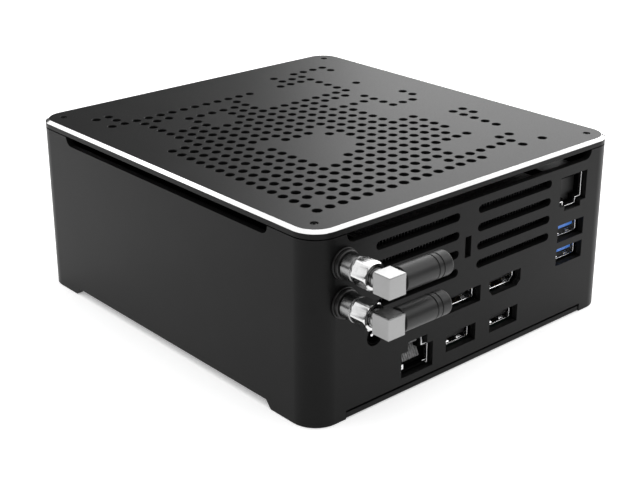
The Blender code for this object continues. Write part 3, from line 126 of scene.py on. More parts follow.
# ---------------------------------------------------------------- front controls and cooling
BUTTON_FLANGE = 0.0012      # how far the power button's flange stands out round it
FIN_COUNT = 62
FIN_GAUGE = 0.00025
WHEEL_RADIUS = 0.0338
HUB_RADIUS = 0.0135
BLADE_COUNT = 33
BLADE_START = 0.0205        # radius at which a blade begins
BLADE_HALF_GAUGE = 0.00028
BLADE_SWEEP = 20.0          # degrees from a blade's root to its tip
BLADE_STEPS = 6

# ---------------------------------------------------------------- antennas
BARREL_RADIUS = 0.0031
THREAD_PITCH = 0.0006
THREAD_DEPTH = 0.00025
COLLAR_RADIUS = 0.0044
COLLAR_LENGTH = 0.0050
HEX_ACROSS_FLATS = 0.0085
HEX_STEPS = 8               # points along each side of the hexagon
NUT_BORE = 0.0034
ELBOW_SIDE = 0.0072
NECK_RADIUS = 0.0031
SLEEVE_RADIUS = 0.00415
SLEEVE_GAP = 0.0003         # between the elbow's face and the sleeve's mouth
TIP_ROUND = 0.0011          # rounding of the sleeve's free end
SLEEVE_GROOVES = (0.0139, 0.01605)     # distances from the elbow's face

# ---------------------------------------------------------------- camera
CAMERA_FROM_CASE = (0.3062, 0.3449, 0.2140)     # from the point under the middle of the case
CAMERA_TARGET_HEIGHT = 0.0342
CAMERA_LENS = 71.57
CAMERA_SHIFT_Y = -0.0486

# ---------------------------------------------------------------- light
WORLD_GLOW = 0.12
FLOOR_GLOW = 0.35           # paper lit from below, as on a light table
FLOOR_REACH = 6.0
# name, bearing from +X, elevation, distance, width, height, brightness
PANELS = (("top_panel", 0.0, 90.0, 1.2, 3.2, 3.2, 1.5),
          ("back_panel", -163.0, 24.0, 2.0, 2.3, 1.1, 3.3),
          ("side_panel", -50.0, 21.0, 1.5, 0.65, 0.4, 1.35),
          ("front_panel", -83.0, 33.0, 1.6, 0.6, 0.5, 1.8),
          ("rear_panel", 141.0, 33.0, 1.5, 0.8, 0.5, 1.6))

case_low, case_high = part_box("body_shell")
lid_low, lid_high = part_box("top_cover")
case_middle = (case_low + case_high) / 2
REAR = case_high.y
FRONT = case_low.y


# ---------------------------------------------------------------- solids
def place_point(u, v, along, axis):
    """Point from an outline drawn across an axis, in the order x, y, z, and the distance along it."""
    if axis == "z":
        return (u, v, along)
    if axis == "y":
        return (u, along, v)
    return (along, u, v)


def skin(loops, shape, closed):
    """Faces between successive loops of vertices; a closed run joins the last loop to the first."""
    count = len(loops[0])
    pairs = list(zip(loops, loops[1:]))
    if closed:
        pairs.append((loops[-1], loops[0]))
    for first, second in pairs:
        for i in range(count):
            j = (i + 1) % count
            corners = dict.fromkeys((first[i], first[j], second[j], second[i]))
            if len(corners) > 2:
                shape.faces.new(tuple(corners))


def loft(sections, axis, ring=False):
    """Closed solid through outlines with equal point counts, given as (outline, distance) pairs."""
    shape = bmesh.new()
    loops = [[shape.verts.new(place_point(u, v, along, axis)) for u, v in outline]
             for outline, along in sections]
    skin(loops, shape, ring)
    if not ring:
        shape.faces.new(loops[0])
        shape.faces.new(loops[-1])
    bmesh.ops.recalc_face_normals(shape, faces=shape.faces)
    return shape


def prism(outline, low, high, axis="z"):
    return loft(((outline, low), (outline, high)), axis)


def turned(profile, centre, axis, sides=48):
    """Solid of revolution. Profile points are (radius, distance along the axis); one that starts
    and ends on the axis is a plain solid, any other profile is a closed ring."""
    shape = bmesh.new()
    loops = []
    for radius, along in profile:
        if radius == 0.0:
            loops.append([shape.verts.new(place_point(*centre, along, axis))] * sides)
        else:
            points = circle(*centre, radius, sides)
            loops.append([shape.verts.new(place_point(u, v, along, axis)) for u, v in points])
    skin(loops, shape, profile[0][0] > 0.0)
    bmesh.ops.recalc_face_normals(shape, faces=shape.faces)
    return shape


def box(low, high):
    corners = ((low[0], low[1]), (high[0], low[1]), (high[0], high[1]), (low[0], high[1]))
    return prism(corners, low[2], high[2])


def soft_box(low, high, radius, steps=3):
    """Block with rounded edges."""
    shape = box(low, high)
    bmesh.ops.bevel(shape, geom=shape.edges[:], offset=radius, segments=steps, profile=0.5,
                    affect="EDGES")
    return shape


def join_shapes(shapes, finishes=None):
    """One shape out of several; each may take its own material number."""
    joined = bmesh.new()
    scratch = bpy.data.meshes.new("scratch")
    for number, shape in enumerate(shapes):
        if finishes:
            for face in shape.faces:
                face.material_index = finishes[number]
        shape.to_mesh(scratch)
        shape.free()
        joined.from_mesh(scratch)
    bpy.data.meshes.remove(scratch)
    return joined


def cad_copy(node):
    """The CAD node's solid with whole flat faces instead of triangles."""
    shape = bmesh.new()
    shape.from_mesh(NODES[node].data)
    bmesh.ops.remove_doubles(shape, verts=shape.verts, dist=1e-6)
    bmesh.ops.dissolve_limit(shape, angle_limit=math.radians(0.6), verts=shape.verts,
                             edges=shape.edges, delimit=set())
    for face in shape.faces:
        face.material_index = 0
    return shape


def rounded_copy(node, width, steps=3):
    """The CAD node's solid with its sharp edges rounded."""
    shape = cad_copy(node)
    sharp = [edge for edge in shape.edges
             if edge.is_manifold and edge.calc_face_angle(0.0) > math.radians(33)]
    bmesh.ops.bevel(shape, geom=sharp, offset=width, segments=steps, profile=0.5,
                    affect="EDGES", clamp_overlap=True)
    return shape


def round_openings(node):
    """Upright round openings of a CAD node, as (x, y, radius)."""
    shape = bmesh.new()
    shape.from_mesh(NODES[node].data)
    bmesh.ops.remove_doubles(shape, verts=shape.verts, dist=1e-6)
    upright = {face for face in shape.faces if abs(face.normal.z) < 0.1}
    openings = []
    while upright:
        island, edge_faces = set(), [upright.pop()]
        while edge_faces:
            face = edge_faces.pop()
            island.add(face)
            for edge in face.edges:
                for other in edge.link_faces:
                    if other in upright:
                        upright.discard(other)
                        edge_faces.append(other)
        places = [vert.co for face in island for vert in face.verts]
        xs = [place.x for place in places]
        ys = [place.y for place in places]
        centre = ((min(xs) + max(xs)) / 2, (min(ys) + max(ys)) / 2)
        radius = max(math.hypot(place.x - centre[0], place.y - centre[1]) for place in places)
        openings.append((*centre, radius))
    shape.free()
    return sorted(openings)


# ---------------------------------------------------------------- outlines
def circle(centre_u, centre_v, radius, sides=48, turn=0.0):
    points = []
    for i in range(sides):
        angle = turn + 2 * math.pi * i / sides
        points.append((centre_u + radius * math.cos(angle), centre_v + radius * math.sin(angle)))
    return points


def rounded(u_low, u_high, v_low, v_high, radius, steps=6):
    """Rectangle with round corners."""
    corners = ((u_high, v_high), (u_low, v_high), (u_low, v_low), (u_high, v_low))
    inward = ((-1, -1), (1, -1), (1, 1), (-1, 1))
    points = []
    for quarter, ((u, v), (du, dv)) in enumerate(zip(corners, inward)):
        for i in range(steps + 1):
            angle = math.pi / 2 * (quarter + i / steps)
            points.append((u + du * radius + radius * math.cos(angle),
                           v + dv * radius + radius * math.sin(angle)))
    return points


def rounded_about(centre_u, centre_v, width, height, radius, grow=0.0, steps=6):
    return rounded(centre_u - width / 2 - grow, centre_u + width / 2 + grow,
                   centre_v - height / 2 - grow, centre_v + height / 2 + grow, radius + grow, steps)


def case_outline(inset):
    """Plan of the case and lid, drawn in by an inset."""
    return rounded(case_low.x + inset, case_high.x - inset, case_low.y + inset, case_high.y - inset,
                   CORNER_RADIUS - inset, CORNER_STEPS)


def lan_outline(centre_x, bottom, height, latch, grow=0.0):
    """Mouth of a LAN socket. A positive latch puts the latch notch above, a negative one below."""
    half = LAN_WIDTH / 2 + grow
    notch = LAN_LATCH_WIDTH / 2 + grow
    low = bottom - grow
    high = bottom + height + grow
    if latch > 0:
        right = [(half, low), (half, high), (notch, high), (notch, high + latch)]
    else:
        right = [(notch, low + latch), (notch, low), (half, low), (half, high)]
    return [(centre_x + u, v) for u, v in right] + [(centre_x - u, v) for u, v in reversed(right)]


def video_outline(centre_x, centre_z, width, height, bevels, grow=0.0):
    """Mouth of a video socket, with each lower corner drawn in by its own bevel: (-X side, +X side)."""
    half = width / 2 + grow
    low = centre_z - height / 2 - grow
    high = centre_z + height / 2 + grow
    left, right = bevels
    points = [(half - right, low)]
    points += [(half, low + right)] if right else []
    points += [(half, high), (-half, high)]
    points += [(-half, low + left)] if left else []
    points += [(left - half, low)]
    return [(centre_x + u, v) for u, v in points]


# ---------------------------------------------------------------- materials
def add_node(tree, kind, **values):
    node = tree.nodes.new(kind)
    for name, value in values.items():
        node.inputs[name.replace("_", " ")].default_value = value
    return node


def object_coordinates(tree, stretch=(1.0, 1.0, 1.0)):
    coordinates = tree.nodes.new("ShaderNodeTexCoord")
    mapping = add_node(tree, "ShaderNodeMapping", Scale=stretch)
    tree.links.new(coordinates.outputs["Object"], mapping.inputs["Vector"])
    return mapping.outputs["Vector"]


def noise(tree, place, scale, detail=3.0):
    texture = add_node(tree, "ShaderNodeTexNoise", Scale=scale, Detail=detail, Roughness=0.55)
    tree.links.new(place, texture.inputs["Vector"])
    return texture.outputs["Fac"]


def ramp(tree, value, stops):
    """Colour ramp through (position, colour) stops."""
    node = tree.nodes.new("ShaderNodeValToRGB")
    tree.links.new(value, node.inputs["Fac"])
    elements = node.color_ramp.elements
    while len(elements) < len(stops):
        elements.new(0.5)
    for element, (position, colour) in zip(elements, stops):
        element.position = position
        element.color = (*colour, 1.0)
    return node.outputs["Color"]


def finish_of(name, dark, light, roughness, metallic=0.0, blotch=40.0, grain=1800.0, spread=0.06,
              bump=0.000004, stretch=(1.0, 1.0, 1.0), sockets=None):
    """Material with blotchy colour, and a fine grain that drives both roughness and relief."""
    material = bpy.data.materials.new(name)
    material.use_nodes = True
    tree = material.node_tree
    shader = tree.nodes["Principled BSDF"]
    shader.inputs["Metallic"].default_value = metallic
    for socket, value in (sockets or {}).items():
        shader.inputs[socket].default_value = value
    clouds = noise(tree, object_coordinates(tree), blotch, 5.0)
    tree.links.new(ramp(tree, clouds, ((0.3, dark), (0.7, light))), shader.inputs["Base Color"])
    fine = noise(tree, object_coordinates(tree, stretch), grain)
    spreader = add_node(tree, "ShaderNodeMapRange", From_Min=0.25, From_Max=0.75,
                        To_Min=roughness - spread, To_Max=roughness + spread)
    tree.links.new(fine, spreader.inputs["Value"])
    tree.links.new(spreader.outputs["Result"], shader.inputs["Roughness"])
    relief = add_node(tree, "ShaderNodeBump", Strength=1.0, Distance=bump)
    tree.links.new(fine, relief.inputs["Height"])
    tree.links.new(relief.outputs["Normal"], shader.inputs["Normal"])
    return material


def grey(level):
    return (level, level, level)


def board_finish():
    """Solder mask with fine traces and tinned vias."""
    material = finish_of("circuit_board", (0.003, 0.006, 0.005), (0.005, 0.011, 0.009), 0.36,
                         blotch=90.0, grain=2600.0)
    tree = material.node_tree
    shader = tree.nodes["Principled BSDF"]
    cells = add_node(tree, "ShaderNodeTexVoronoi", Scale=420.0, Randomness=0.62)
    cells.distance = "CHEBYCHEV"
    cells.feature = "F1"
    tree.links.new(object_coordinates(tree), cells.inputs["Vector"])
    mask = shader.inputs["Base Color"].links[0].from_socket
    vias = ramp(tree, cells.outputs["Distance"], ((0.0, grey(1.0)), (0.10, grey(0.0))))
    mixer = tree.nodes.new("ShaderNodeMix")
    mixer.data_type = "RGBA"
    tree.links.new(vias, mixer.inputs["Factor"])
    tree.links.new(mask, mixer.inputs["A"])
    mixer.inputs["B"].default_value = (0.16, 0.15, 0.12, 1.0)
    tree.links.new(mixer.outputs["Result"], shader.inputs["Base Color"])
    return material


FINISHES = {
    "black_anodised": finish_of("black_anodised", grey(0.0050), grey(0.0072), 0.37, spread=0.04,
                                bump=0.0000015, sockets={"IOR": 1.20}),
    "polished_silver": finish_of("polished_silver", grey(0.60), grey(0.66), 0.17, 1.0, grain=900.0,
                                 spread=0.03, bump=0.000001),
    "plated_steel": finish_of("plated_steel", (0.82, 0.82, 0.83), (0.92, 0.92, 0.93), 0.22, 1.0,
                              stretch=(1.0, 12.0, 12.0), grain=700.0),
    "dark_steel": finish_of("dark_steel", grey(0.006), (0.011, 0.010, 0.010), 0.36,
                            blotch=300.0, sockets={"IOR": 1.38}),
    "black_rubber": finish_of("black_rubber", grey(0.013), grey(0.019), 0.42, grain=2400.0,
                              bump=0.000008, sockets={"IOR": 1.36}),
    "black_plastic": finish_of("black_plastic", grey(0.007), grey(0.011), 0.42, grain=2400.0,
                               bump=0.000008, sockets={"IOR": 1.3}),
    "blue_plastic": finish_of("blue_plastic", (0.06, 0.24, 0.80), (0.08, 0.28, 0.90), 0.38,
                              grain=2400.0),
    "circuit_board": board_finish(),
    "copper": finish_of("copper", (0.62, 0.27, 0.15), (0.78, 0.40, 0.25), 0.30, 1.0,
                        blotch=120.0, stretch=(6.0, 1.0, 6.0)),
    # Aluminium darkened far below its own colour: painted shade for the cooling metal inside the case.
    "fin_aluminium": finish_of("fin_aluminium", grey(0.10), grey(0.16), 0.42, 1.0,
                               stretch=(1.0, 8.0, 1.0)),
    "light_pipe": finish_of("light_pipe", (0.62, 0.68, 0.76), (0.74, 0.80, 0.88), 0.22,
                            sockets={"Transmission Weight": 0.5}),
}
POLISHED_EDGE = finish_of("polished_edge", grey(0.58), grey(0.64), 0.16, 1.0, grain=60.0,
                          spread=0.03, bump=0.000001, stretch=(1.0, 1.0, 300.0))
# Nickel with its colour pulled far below bright metal: painted shade for the coupling collars and the
# elbows.
NICKEL_WITH_PAINTED_SHADE = finish_of("nickel_with_painted_shade", grey(0.25), grey(0.29), 0.24, 1.0, grain=1400.0,
                         spread=0.04, bump=0.000001)
GOLD = finish_of("gold_contact", (0.72, 0.47, 0.16), (0.86, 0.62, 0.26), 0.24, 1.0, blotch=400.0)
# Near-black that hardly reflects. Inside the sockets and the DC inlet it is black plastic darkened
# further as painted shade. Behind the front USB sockets it is only a sheet of painted shade.
BLACK_WITH_PAINTED_SHADE = finish_of("black_with_painted_shade", grey(0.001), grey(0.002), 0.5, sockets={"IOR": 1.06})
BLACK_OXIDE = finish_of("black_oxide", grey(0.004), grey(0.006), 0.35, sockets={"IOR": 1.2})
TINNED = finish_of("tinned_contact", grey(0.16), grey(0.32), 0.42, 0.3, blotch=900.0)


# ---------------------------------------------------------------- pieces
def add_piece(name, shape, nodes, finishes=None, crease=50.0):
    """Piece that stands for CAD nodes, and takes the body and the material slot of the first."""
    mesh = bpy.data.meshes.new(name)
    shape.to_mesh(mesh)
    shape.free()
    lead = nodes[0]
    for finish in finishes or (FINISHES[SLOTS[lead]],):
        mesh.materials.append(finish)
    mesh.shade_smooth()
    mesh.set_sharp_from_angle(angle=math.radians(crease))
    piece = bpy.data.objects.new(name, mesh)
    bpy.context.scene.collection.objects.link(piece)
    weighting = piece.modifiers.new("flat faces stay flat", "WEIGHTED_NORMAL")
    weighting.keep_sharp = True
    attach(piece, NODES[lead]["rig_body"])
    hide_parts(*nodes)
    return piece


def carve(piece, cutters):
    """Cut closed shapes, which don't touch one another, out of a piece."""
    mesh = bpy.data.meshes.new("cutter")
    joined = join_shapes(cutters)
    joined.to_mesh(mesh)
    joined.free()
    cutter = bpy.data.objects.new("cutter", mesh)
    bpy.context.scene.collection.objects.link(cutter)
    weighting = piece.modifiers[0]
    weighting.show_render = weighting.show_viewport = False
    step = piece.modifiers.new("carve", "BOOLEAN")
    step.solver = "EXACT"
    step.object = cutter
    bpy.context.view_layer.update()
    evaluated = piece.evaluated_get(bpy.context.evaluated_depsgraph_get())
    result = bpy.data.meshes.new_from_object(evaluated)
    piece.modifiers.remove(step)
    weighting.show_render = weighting.show_viewport = True
    piece.data = result
    piece.data.shade_smooth()
    piece.data.set_sharp_from_angle(angle=math.radians(31.0))
    bpy.data.objects.remove(cutter)


def keep_node(node):
    """A CAD node whose plain shape is right gets its finish."""
    for slot in NODES[node].material_slots:
        slot.material = FINISHES[SLOTS[node]]


# ---------------------------------------------------------------- lid
def make_lid():
    chamfer_low = lid_high.z - RIM_DROP
    edge = RIM_LAND
    lid = add_piece("lid_plate", loft((
        (case_outline(edge), lid_low.z),
        (case_outline(0.0), lid_low.z + edge),
        (case_outline(0.0), chamfer_low - 2 * edge),
        (case_outline(RIM_GAUGE), chamfer_low - 2 * edge),
        (case_outline(RIM_INSET + edge), lid_high.z - 2 * edge),
        (case_outline(RIM_INSET + edge), lid_high.z),
    ), "z"), ["top_cover"])
    carve(lid, [hole_punch(*hole) for hole in round_openings("top_cover")
                if HOLE_LEAST_RADIUS < hole[2] < HOLE_MOST_RADIUS] + seat_punches())

    rim = add_piece("lid_polished_edge", loft((
        (case_outline(0.0), chamfer_low - edge),
        (case_outline(0.0), chamfer_low),
        (case_outline(RIM_INSET), lid_high.z),
        (case_outline(RIM_INSET + edge * 0.8), lid_high.z),
        (case_outline(RIM_INSET + edge * 0.8), lid_high.z - edge),
        (case_outline(RIM_GAUGE), chamfer_low - edge),
    ), "z", ring=True), ["top_cover"], (POLISHED_EDGE,), crease=30.0)


def hole_punch(x, y, radius):
    """Cutter for one round hole of the lid, with a small chamfer at the top."""
    wide = radius + HOLE_CHAMFER
    return turned((
        (0.0, lid_low.z - RIM_LAND), (radius, lid_low.z - RIM_LAND),
        (radius, lid_high.z - HOLE_CHAMFER), (wide, lid_high.z),
        (wide, lid_high.z + RIM_LAND), (0.0, lid_high.z + RIM_LAND)), (x, y), "z", HOLE_SIDES)


def seat_punches():
    """Cutters for the lid screws' stepped holes."""
    punches = []
    for number in range(1, 5):
        low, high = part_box(f"lid_screw_{number}")
        head = (high.x - low.x) / 2
        bore = head * SEAT_BORE
        seat = high.z - SEAT_DEPTH
        rim = head + SEAT_CLEARANCE
        wide = rim + HOLE_CHAMFER
        punches.append(turned((
            (0.0, lid_low.z - RIM_LAND), (bore, lid_low.z - RIM_LAND), (bore, seat), (rim, seat),
            (rim, lid_high.z - HOLE_CHAMFER), (wide, lid_high.z), (wide, lid_high.z + RIM_LAND),
            (0.0, lid_high.z + RIM_LAND)), ((low + high) / 2).xy, "z", HOLE_SIDES))
    return punches


def screw(node, face, end):
    """Button-head screw with a round recess, from the face of its head to its end."""
    low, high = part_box(node)
    radius = (high.x - low.x) / 2
    shank = radius * SCREW_SHANK
    recess = radius * SCREW_RECESS
    way = math.copysign(1.0, face - end)
    profile = (
        (0.0, end), (radius * 0.66, end), (shank, end + way * 0.0002),
        (shank, face - way * SCREW_HEAD), (radius, face - way * SCREW_HEAD),
        (radius, face - way * 0.00035), (radius * 0.93, face - way * 0.00012),
        (radius * 0.8, face), (recess * 1.1, face), (recess, face - way * 0.0001),
        (recess, face - way * RECESS_DEPTH), (0.0, face - way * (RECESS_DEPTH + 0.0001)))
    return turned(profile, ((low + high) / 2).xy, "z", 24)


def make_screws():
    for number in range(1, 5):
        for kind in ("lid", "base"):
            node = f"{kind}_screw_{number}"
            low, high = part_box(node)
            face, end = (high.z, low.z) if kind == "lid" else (low.z, high.z)
            add_piece(f"{node}_turned", screw(node, face, end), [node], (BLACK_OXIDE,))


# ---------------------------------------------------------------- case
def make_case():
    add_piece("case_body", rounded_copy("body_shell", CASE_EDGE), ["body_shell"])
    add_piece("base_plate", rounded_copy("bottom_cover", PLATE_EDGE), ["bottom_cover"])
    for number in range(1, 5):
        node = f"rubber_foot_{number}"
        low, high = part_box(node)
        radius = (high.x - low.x) / 2
        add_piece(f"{node}_moulded", turned((
            (0.0, FOOT_HOLLOW), (radius * 0.70, FOOT_HOLLOW), (radius * 0.78, 0.0001),
            (radius * 0.82, 0.0), (radius * 0.92, 0.0), (radius * 0.975, 0.00015),
            (radius, FOOT_HOLLOW), (radius, high.z), (0.0, high.z)),
            ((low + high) / 2).xy, "z", 64), [node])


# ---------------------------------------------------------------- sockets
def cup(outline, gauge, face, depth, floor, way=1.0):
    """Hollow shell with an open mouth. The outline takes a growth; way is +1 for a rear socket."""
    return loft((
        (outline(0.0), face - way * depth),
        (outline(0.0), face - way * MOUTH_EDGE),
        (outline(-MOUTH_EDGE), face),
        (outline(-gauge + MOUTH_EDGE), face),
        (outline(-gauge), face - way * MOUTH_EDGE),
        (outline(-gauge), face - way * floor),
    ), "y")


def strip(x, width, points):
    """Bent metal strip: a closed outline in (y, z), as wide as given along X."""
    return prism(points, x - width / 2, x + width / 2, "x")


def leaf_springs(x, z, height, face, way, spread, crests):
    """Two sprung leaves on the floor and two on the ceiling of a shell."""
    springs = []
    for side in (-1, 1):
        for sign, rise in zip((-1, 1), crests):
            wall = z + sign * (height / 2 - USB_GAUGE)
            crest = wall - sign * rise
            sunk = wall + sign * 0.0001
            start, end = face - way * SPRING_START, face - way * SPRING_END
            springs.append(strip(x + side * spread, SPRING_WIDTH, [
                (start, wall), (face - way * 0.0016, crest), (face - way * 0.0026, crest),
                (end, wall), (end, sunk), (start, sunk)]))
    return springs


def usb_shapes(x, z, face, depth, way=1.0):
    """Shell of one USB socket with its springs."""
    width, height = USB_SHELL

    def outline(grow):
        return rounded_about(x, z, width, height, USB_CORNER, grow, 4)

    shell = cup(outline, USB_GAUGE, face, depth, USB_DEPTH, way)
    return [shell] + leaf_springs(x, z, height, face, way, 0.0031, (0.0010, 0.0005))


def make_tongue(name, node, low, high, sides, xs, width, way=1.0, pads=(), finish=None):
    """Insulating blade with gold contacts, and round its tip pads, on the sides given as +1 or -1."""
    shapes = [soft_box(low, high, 0.00018, 2)]
    tip, root = (high.y, low.y) if way > 0 else (low.y, high.y)
    rows = ((xs, width / 2, tip - way * 0.0012, root + way * 0.0004),
            (pads, PAD_WIDTH / 2, tip - way * 0.0003, tip - way * 0.0009))
    for side in sides:
        surface = high.z if side > 0 else low.z
        near, far = sorted((surface - side * 0.00005, surface + side * 0.00010))
        for places, half, first, last in rows:
            start, end = sorted((first, last))
            for x in places:
                shapes.append(soft_box(Vector((x - half, start, near)),
                                       Vector((x + half, end, far)), 0.00004, 1))
    numbers = [0] + [1] * (len(shapes) - 1)
    return add_piece(name, join_shapes(shapes, numbers), [node],
                     (finish or FINISHES[SLOTS[node]], GOLD))


def usb_contacts(x):
    """Places of the four long contacts of a USB socket."""
    return [x + offset for offset in (-0.0035, -0.0010, 0.0010, 0.0035)]


def usb_pads(x):
    """Places of the five short contacts of a USB 3 socket."""
    return [x + step * 0.002 for step in range(-2, 3)]


def make_rear_usb():
    for number in (1, 2):
        port, tongue = f"usb2_port_{number}", f"usb2_tongue_{number}"
        low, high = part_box(port)
        tongue_low, tongue_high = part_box(tongue)
        centre = (tongue_low + tongue_high) / 2
        shapes = usb_shapes(centre.x, centre.z, high.y, high.y - low.y)
        add_piece(f"usb2_shell_{number}", join_shapes(shapes), [port])
        make_tongue(f"usb2_blade_{number}", tongue, tongue_low, tongue_high, (-1,),
                    usb_contacts(centre.x), USB_CONTACT)


def make_front_usb():
    """Sockets in the front wall, with a ring of painted shade round each, just behind the wall."""
    for number in (1, 2):
        node = f"front_usb_{number}"
        low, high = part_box(node)
        x = (low.x + high.x) / 2
        z = high.z - USB_SHELL[1] / 2
        shapes = usb_shapes(x, z, low.y, high.y - low.y, -1.0)
        # the last shape is a flat near-black ring behind the wall: painted shade over a spot the lamps
        # would light
        numbers = [0] * len(shapes) + [1]
        inner = rounded_about(x, z, *USB_SHELL, USB_CORNER, 0.0, 4)
        outer = rounded_about(x, z, *USB_SHELL, USB_CORNER, SHADE_RING_WIDTH, 4)
        start = FRONT + WALL + BEHIND_WALL
        end = start + SHADE_RING_GAUGE
        shapes.append(loft(((inner, start), (outer, start), (outer, end), (inner, end)), "y", ring=True))
        shell = add_piece(f"{node}_shell", join_shapes(shapes, numbers), [node],
                          (FINISHES["plated_steel"], BLACK_WITH_PAINTED_SHADE))
        blade_low = Vector((x - 0.0056, low.y + 0.0008, z - 0.0007))
        blade_high = Vector((x + 0.0056, low.y + USB_DEPTH, z + 0.0010))
        blade = make_tongue(f"{node}_blade", node, blade_low, blade_high, (-1,), usb_contacts(x),
                            USB_CONTACT, -1.0, usb_pads(x), FINISHES["blue_plastic"])


def lan_xs(x):
    """Places of a LAN socket's eight contacts."""
    return [x + (i - (LAN_WIRES - 1) / 2) * CONTACT_PITCH for i in range(LAN_WIRES)]


def hanging_wires(x, z, face):
    """Eight sprung wires that slope down and back from the ceiling of a LAN socket."""
    far = z - 0.0030
    return [strip(middle, 0.00048, [(face - 0.0034, z), (face - 0.0030, z - 0.0004),
                                    (face - 0.0112, far), (face - 0.0116, far + 0.0004)])
            for middle in lan_xs(x)]


def make_stack():
    """One housing with a LAN socket over two USB 3 sockets."""
    low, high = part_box("lan_usb_stack")
    x = (low.x + high.x) / 2
    lan_top = high.z - STACK_LAN_DROP
    lan_bottom = lan_top - STACK_LAN_HEIGHT
    shapes = [soft_box(low, Vector((high.x, REAR - STACK_BODY_FACE, high.z)), 0.0003)]
    numbers = [1]
    for which in ("lower", "upper"):
        tongue = f"usb3_tongue_{which}"
        tongue_low, tongue_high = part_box(tongue)
        z = (tongue_low.z + tongue_high.z) / 2 - TONGUE_RISE
        shells = usb_shapes(x, z, REAR - STACK_USB_FACE, 0.0150)
        shapes += shells
        numbers += [0] * len(shells)
        make_tongue(f"usb3_blade_{which}", tongue, tongue_low, tongue_high, (-1,), usb_contacts(x),
                    USB_CONTACT, 1.0, usb_pads(x))

    def outline(grow):
        return lan_outline(x, lan_bottom, STACK_LAN_HEIGHT, STACK_LAN_LATCH, grow)

    # the plastic liner takes the near-black, black plastic darkened further as painted shade
    shapes += [cup(outline, LAN_GAUGE, high.y, 0.0170, 0.0166),
               cup(lambda grow: outline(grow - LAN_GAUGE), LAN_LINER - LAN_GAUGE,
                   high.y - 0.0006, 0.0160, 0.0150)]
    numbers += [0, 2]
    shapes += hanging_wires(x, lan_top - LAN_LINER, high.y)
    numbers += [3] * LAN_WIRES
    add_piece("lan_usb_tower", join_shapes(shapes, numbers), ["lan_usb_stack"],
              (FINISHES["plated_steel"], FINISHES["black_plastic"], BLACK_WITH_PAINTED_SHADE, GOLD))


def make_lower_lan():
    """LAN socket with its latch notch above, sprung catches in its mouth and a comb of contacts."""
    low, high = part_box("lan_port")
    x = (low.x + high.x) / 2
    bottom = low.z
    face = high.y
    depth = high.y - low.y

    def outline(grow):
        return lan_outline(x, bottom, LOWER_LAN_HEIGHT, LOWER_LAN_LATCH, grow)

    shapes = [cup(outline, LAN_GAUGE, face, depth, depth - 0.0010),
              cup(lambda grow: outline(grow - LAN_GAUGE), LAN_LINER - LAN_GAUGE, face - 0.0010,
                  depth - 0.0010, 0.0135)]
    # material 1, the near-black, is black plastic darkened further as painted shade; the contact block
    # and the sill take it too
    numbers = [0, 1]

    # bright catches at the two lower corners of the mouth
    edge = LAN_WIDTH / 2 - LAN_GAUGE
    for low_x, high_x, low_z, high_z in ((x + edge - 0.0018, x + edge, 0.0003, 0.0030),
                                         (x - edge, x - edge + 0.0020, 0.0009, 0.0014)):
        shapes.append(soft_box(Vector((low_x, face - 0.0006, bottom + low_z)),
                               Vector((high_x, face - 0.0001, bottom + high_z)), 0.0001, 1))
        numbers.append(0)

    # tinned plate and bright strip in the latch notch
    notch = bottom + LOWER_LAN_HEIGHT
    notch_top = notch + LOWER_LAN_LATCH - 0.0008
    for middle, width, number in ((x - 0.0010, 0.0030, 2), (x + 0.0014, 0.0008, 0)):
        shapes.append(strip(middle, width, [
            (face - 0.0012, notch_top), (face - 0.0014, notch + 0.0012), (face - 0.0032, notch - 0.0002),
            (face - 0.0036, notch - 0.0002), (face - 0.0018, notch_top)]))
        numbers.append(number)

    # sloped block with the contacts on it
    floor = bottom + LAN_LINER
    half = LAN_WIDTH / 2 - LAN_LINER
    front, back, crest = face - 0.0016, face - 0.0034, floor + 0.0060
    shapes.append(prism(((front, floor), (front, floor + 0.0016), (back, crest), (back, floor)),
                        x - half, x + half, "x"))
    numbers.append(1)
    for middle in lan_xs(x):
        shapes.append(strip(middle, 0.00074, (
            (front - 0.0002, floor + 0.0014), (front + 0.0002, floor + 0.0022),
            (back, crest + 0.0004), (back, crest - 0.0001))))
        numbers.append(2)

    # sill of the mouth, in the near-black: black plastic darkened further as painted shade
    shapes.append(box(Vector((x - half, face - 0.0010, bottom + 0.00005)),
                      Vector((x + half, face + 0.00004, floor))))
    numbers.append(1)
    add_piece("lan_socket_lower", join_shapes(shapes, numbers), ["lan_port"],
              (FINISHES["plated_steel"], BLACK_WITH_PAINTED_SHADE, TINNED))


def make_video():
    for name, port, tongue, bevels in (("hdmi", "hdmi_port", "hdmi_tongue", (VIDEO_BEVEL, VIDEO_BEVEL)),
                                       ("display", "display_port", "display_tongue", (0.0, VIDEO_BEVEL))):
        low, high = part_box(port)
        tongue_low, tongue_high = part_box(tongue)
        centre = (tongue_low + tongue_high) / 2
        width = high.x - low.x - 0.0002
        height = 2 * (high.z - centre.z) - 0.0001

        def outline(grow):
            return video_outline(centre.x, centre.z, width, height, bevels, grow)

        shapes = [cup(outline, VIDEO_GAUGE, high.y, high.y - low.y, 0.0084)]
        shapes += leaf_springs(centre.x, centre.z, height, high.y, 1.0, 0.0042, (0.0008, 0.0005))
        add_piece(f"{name}_shell", join_shapes(shapes), [port], crease=30.0)
        xs = [centre.x + (i - (VIDEO_CONTACTS - 1) / 2) * VIDEO_PITCH for i in range(VIDEO_CONTACTS)]
        make_tongue(f"{name}_blade", tongue, tongue_low, tongue_high, (-1, 1), xs, 0.00045)


def round_jack(node):
    """Box of a round jack, and the middle of its bore in X and Z."""
    low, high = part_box(node)
    return low, high, ((low.x + high.x) / 2, high.z - (high.x - low.x) / 2)


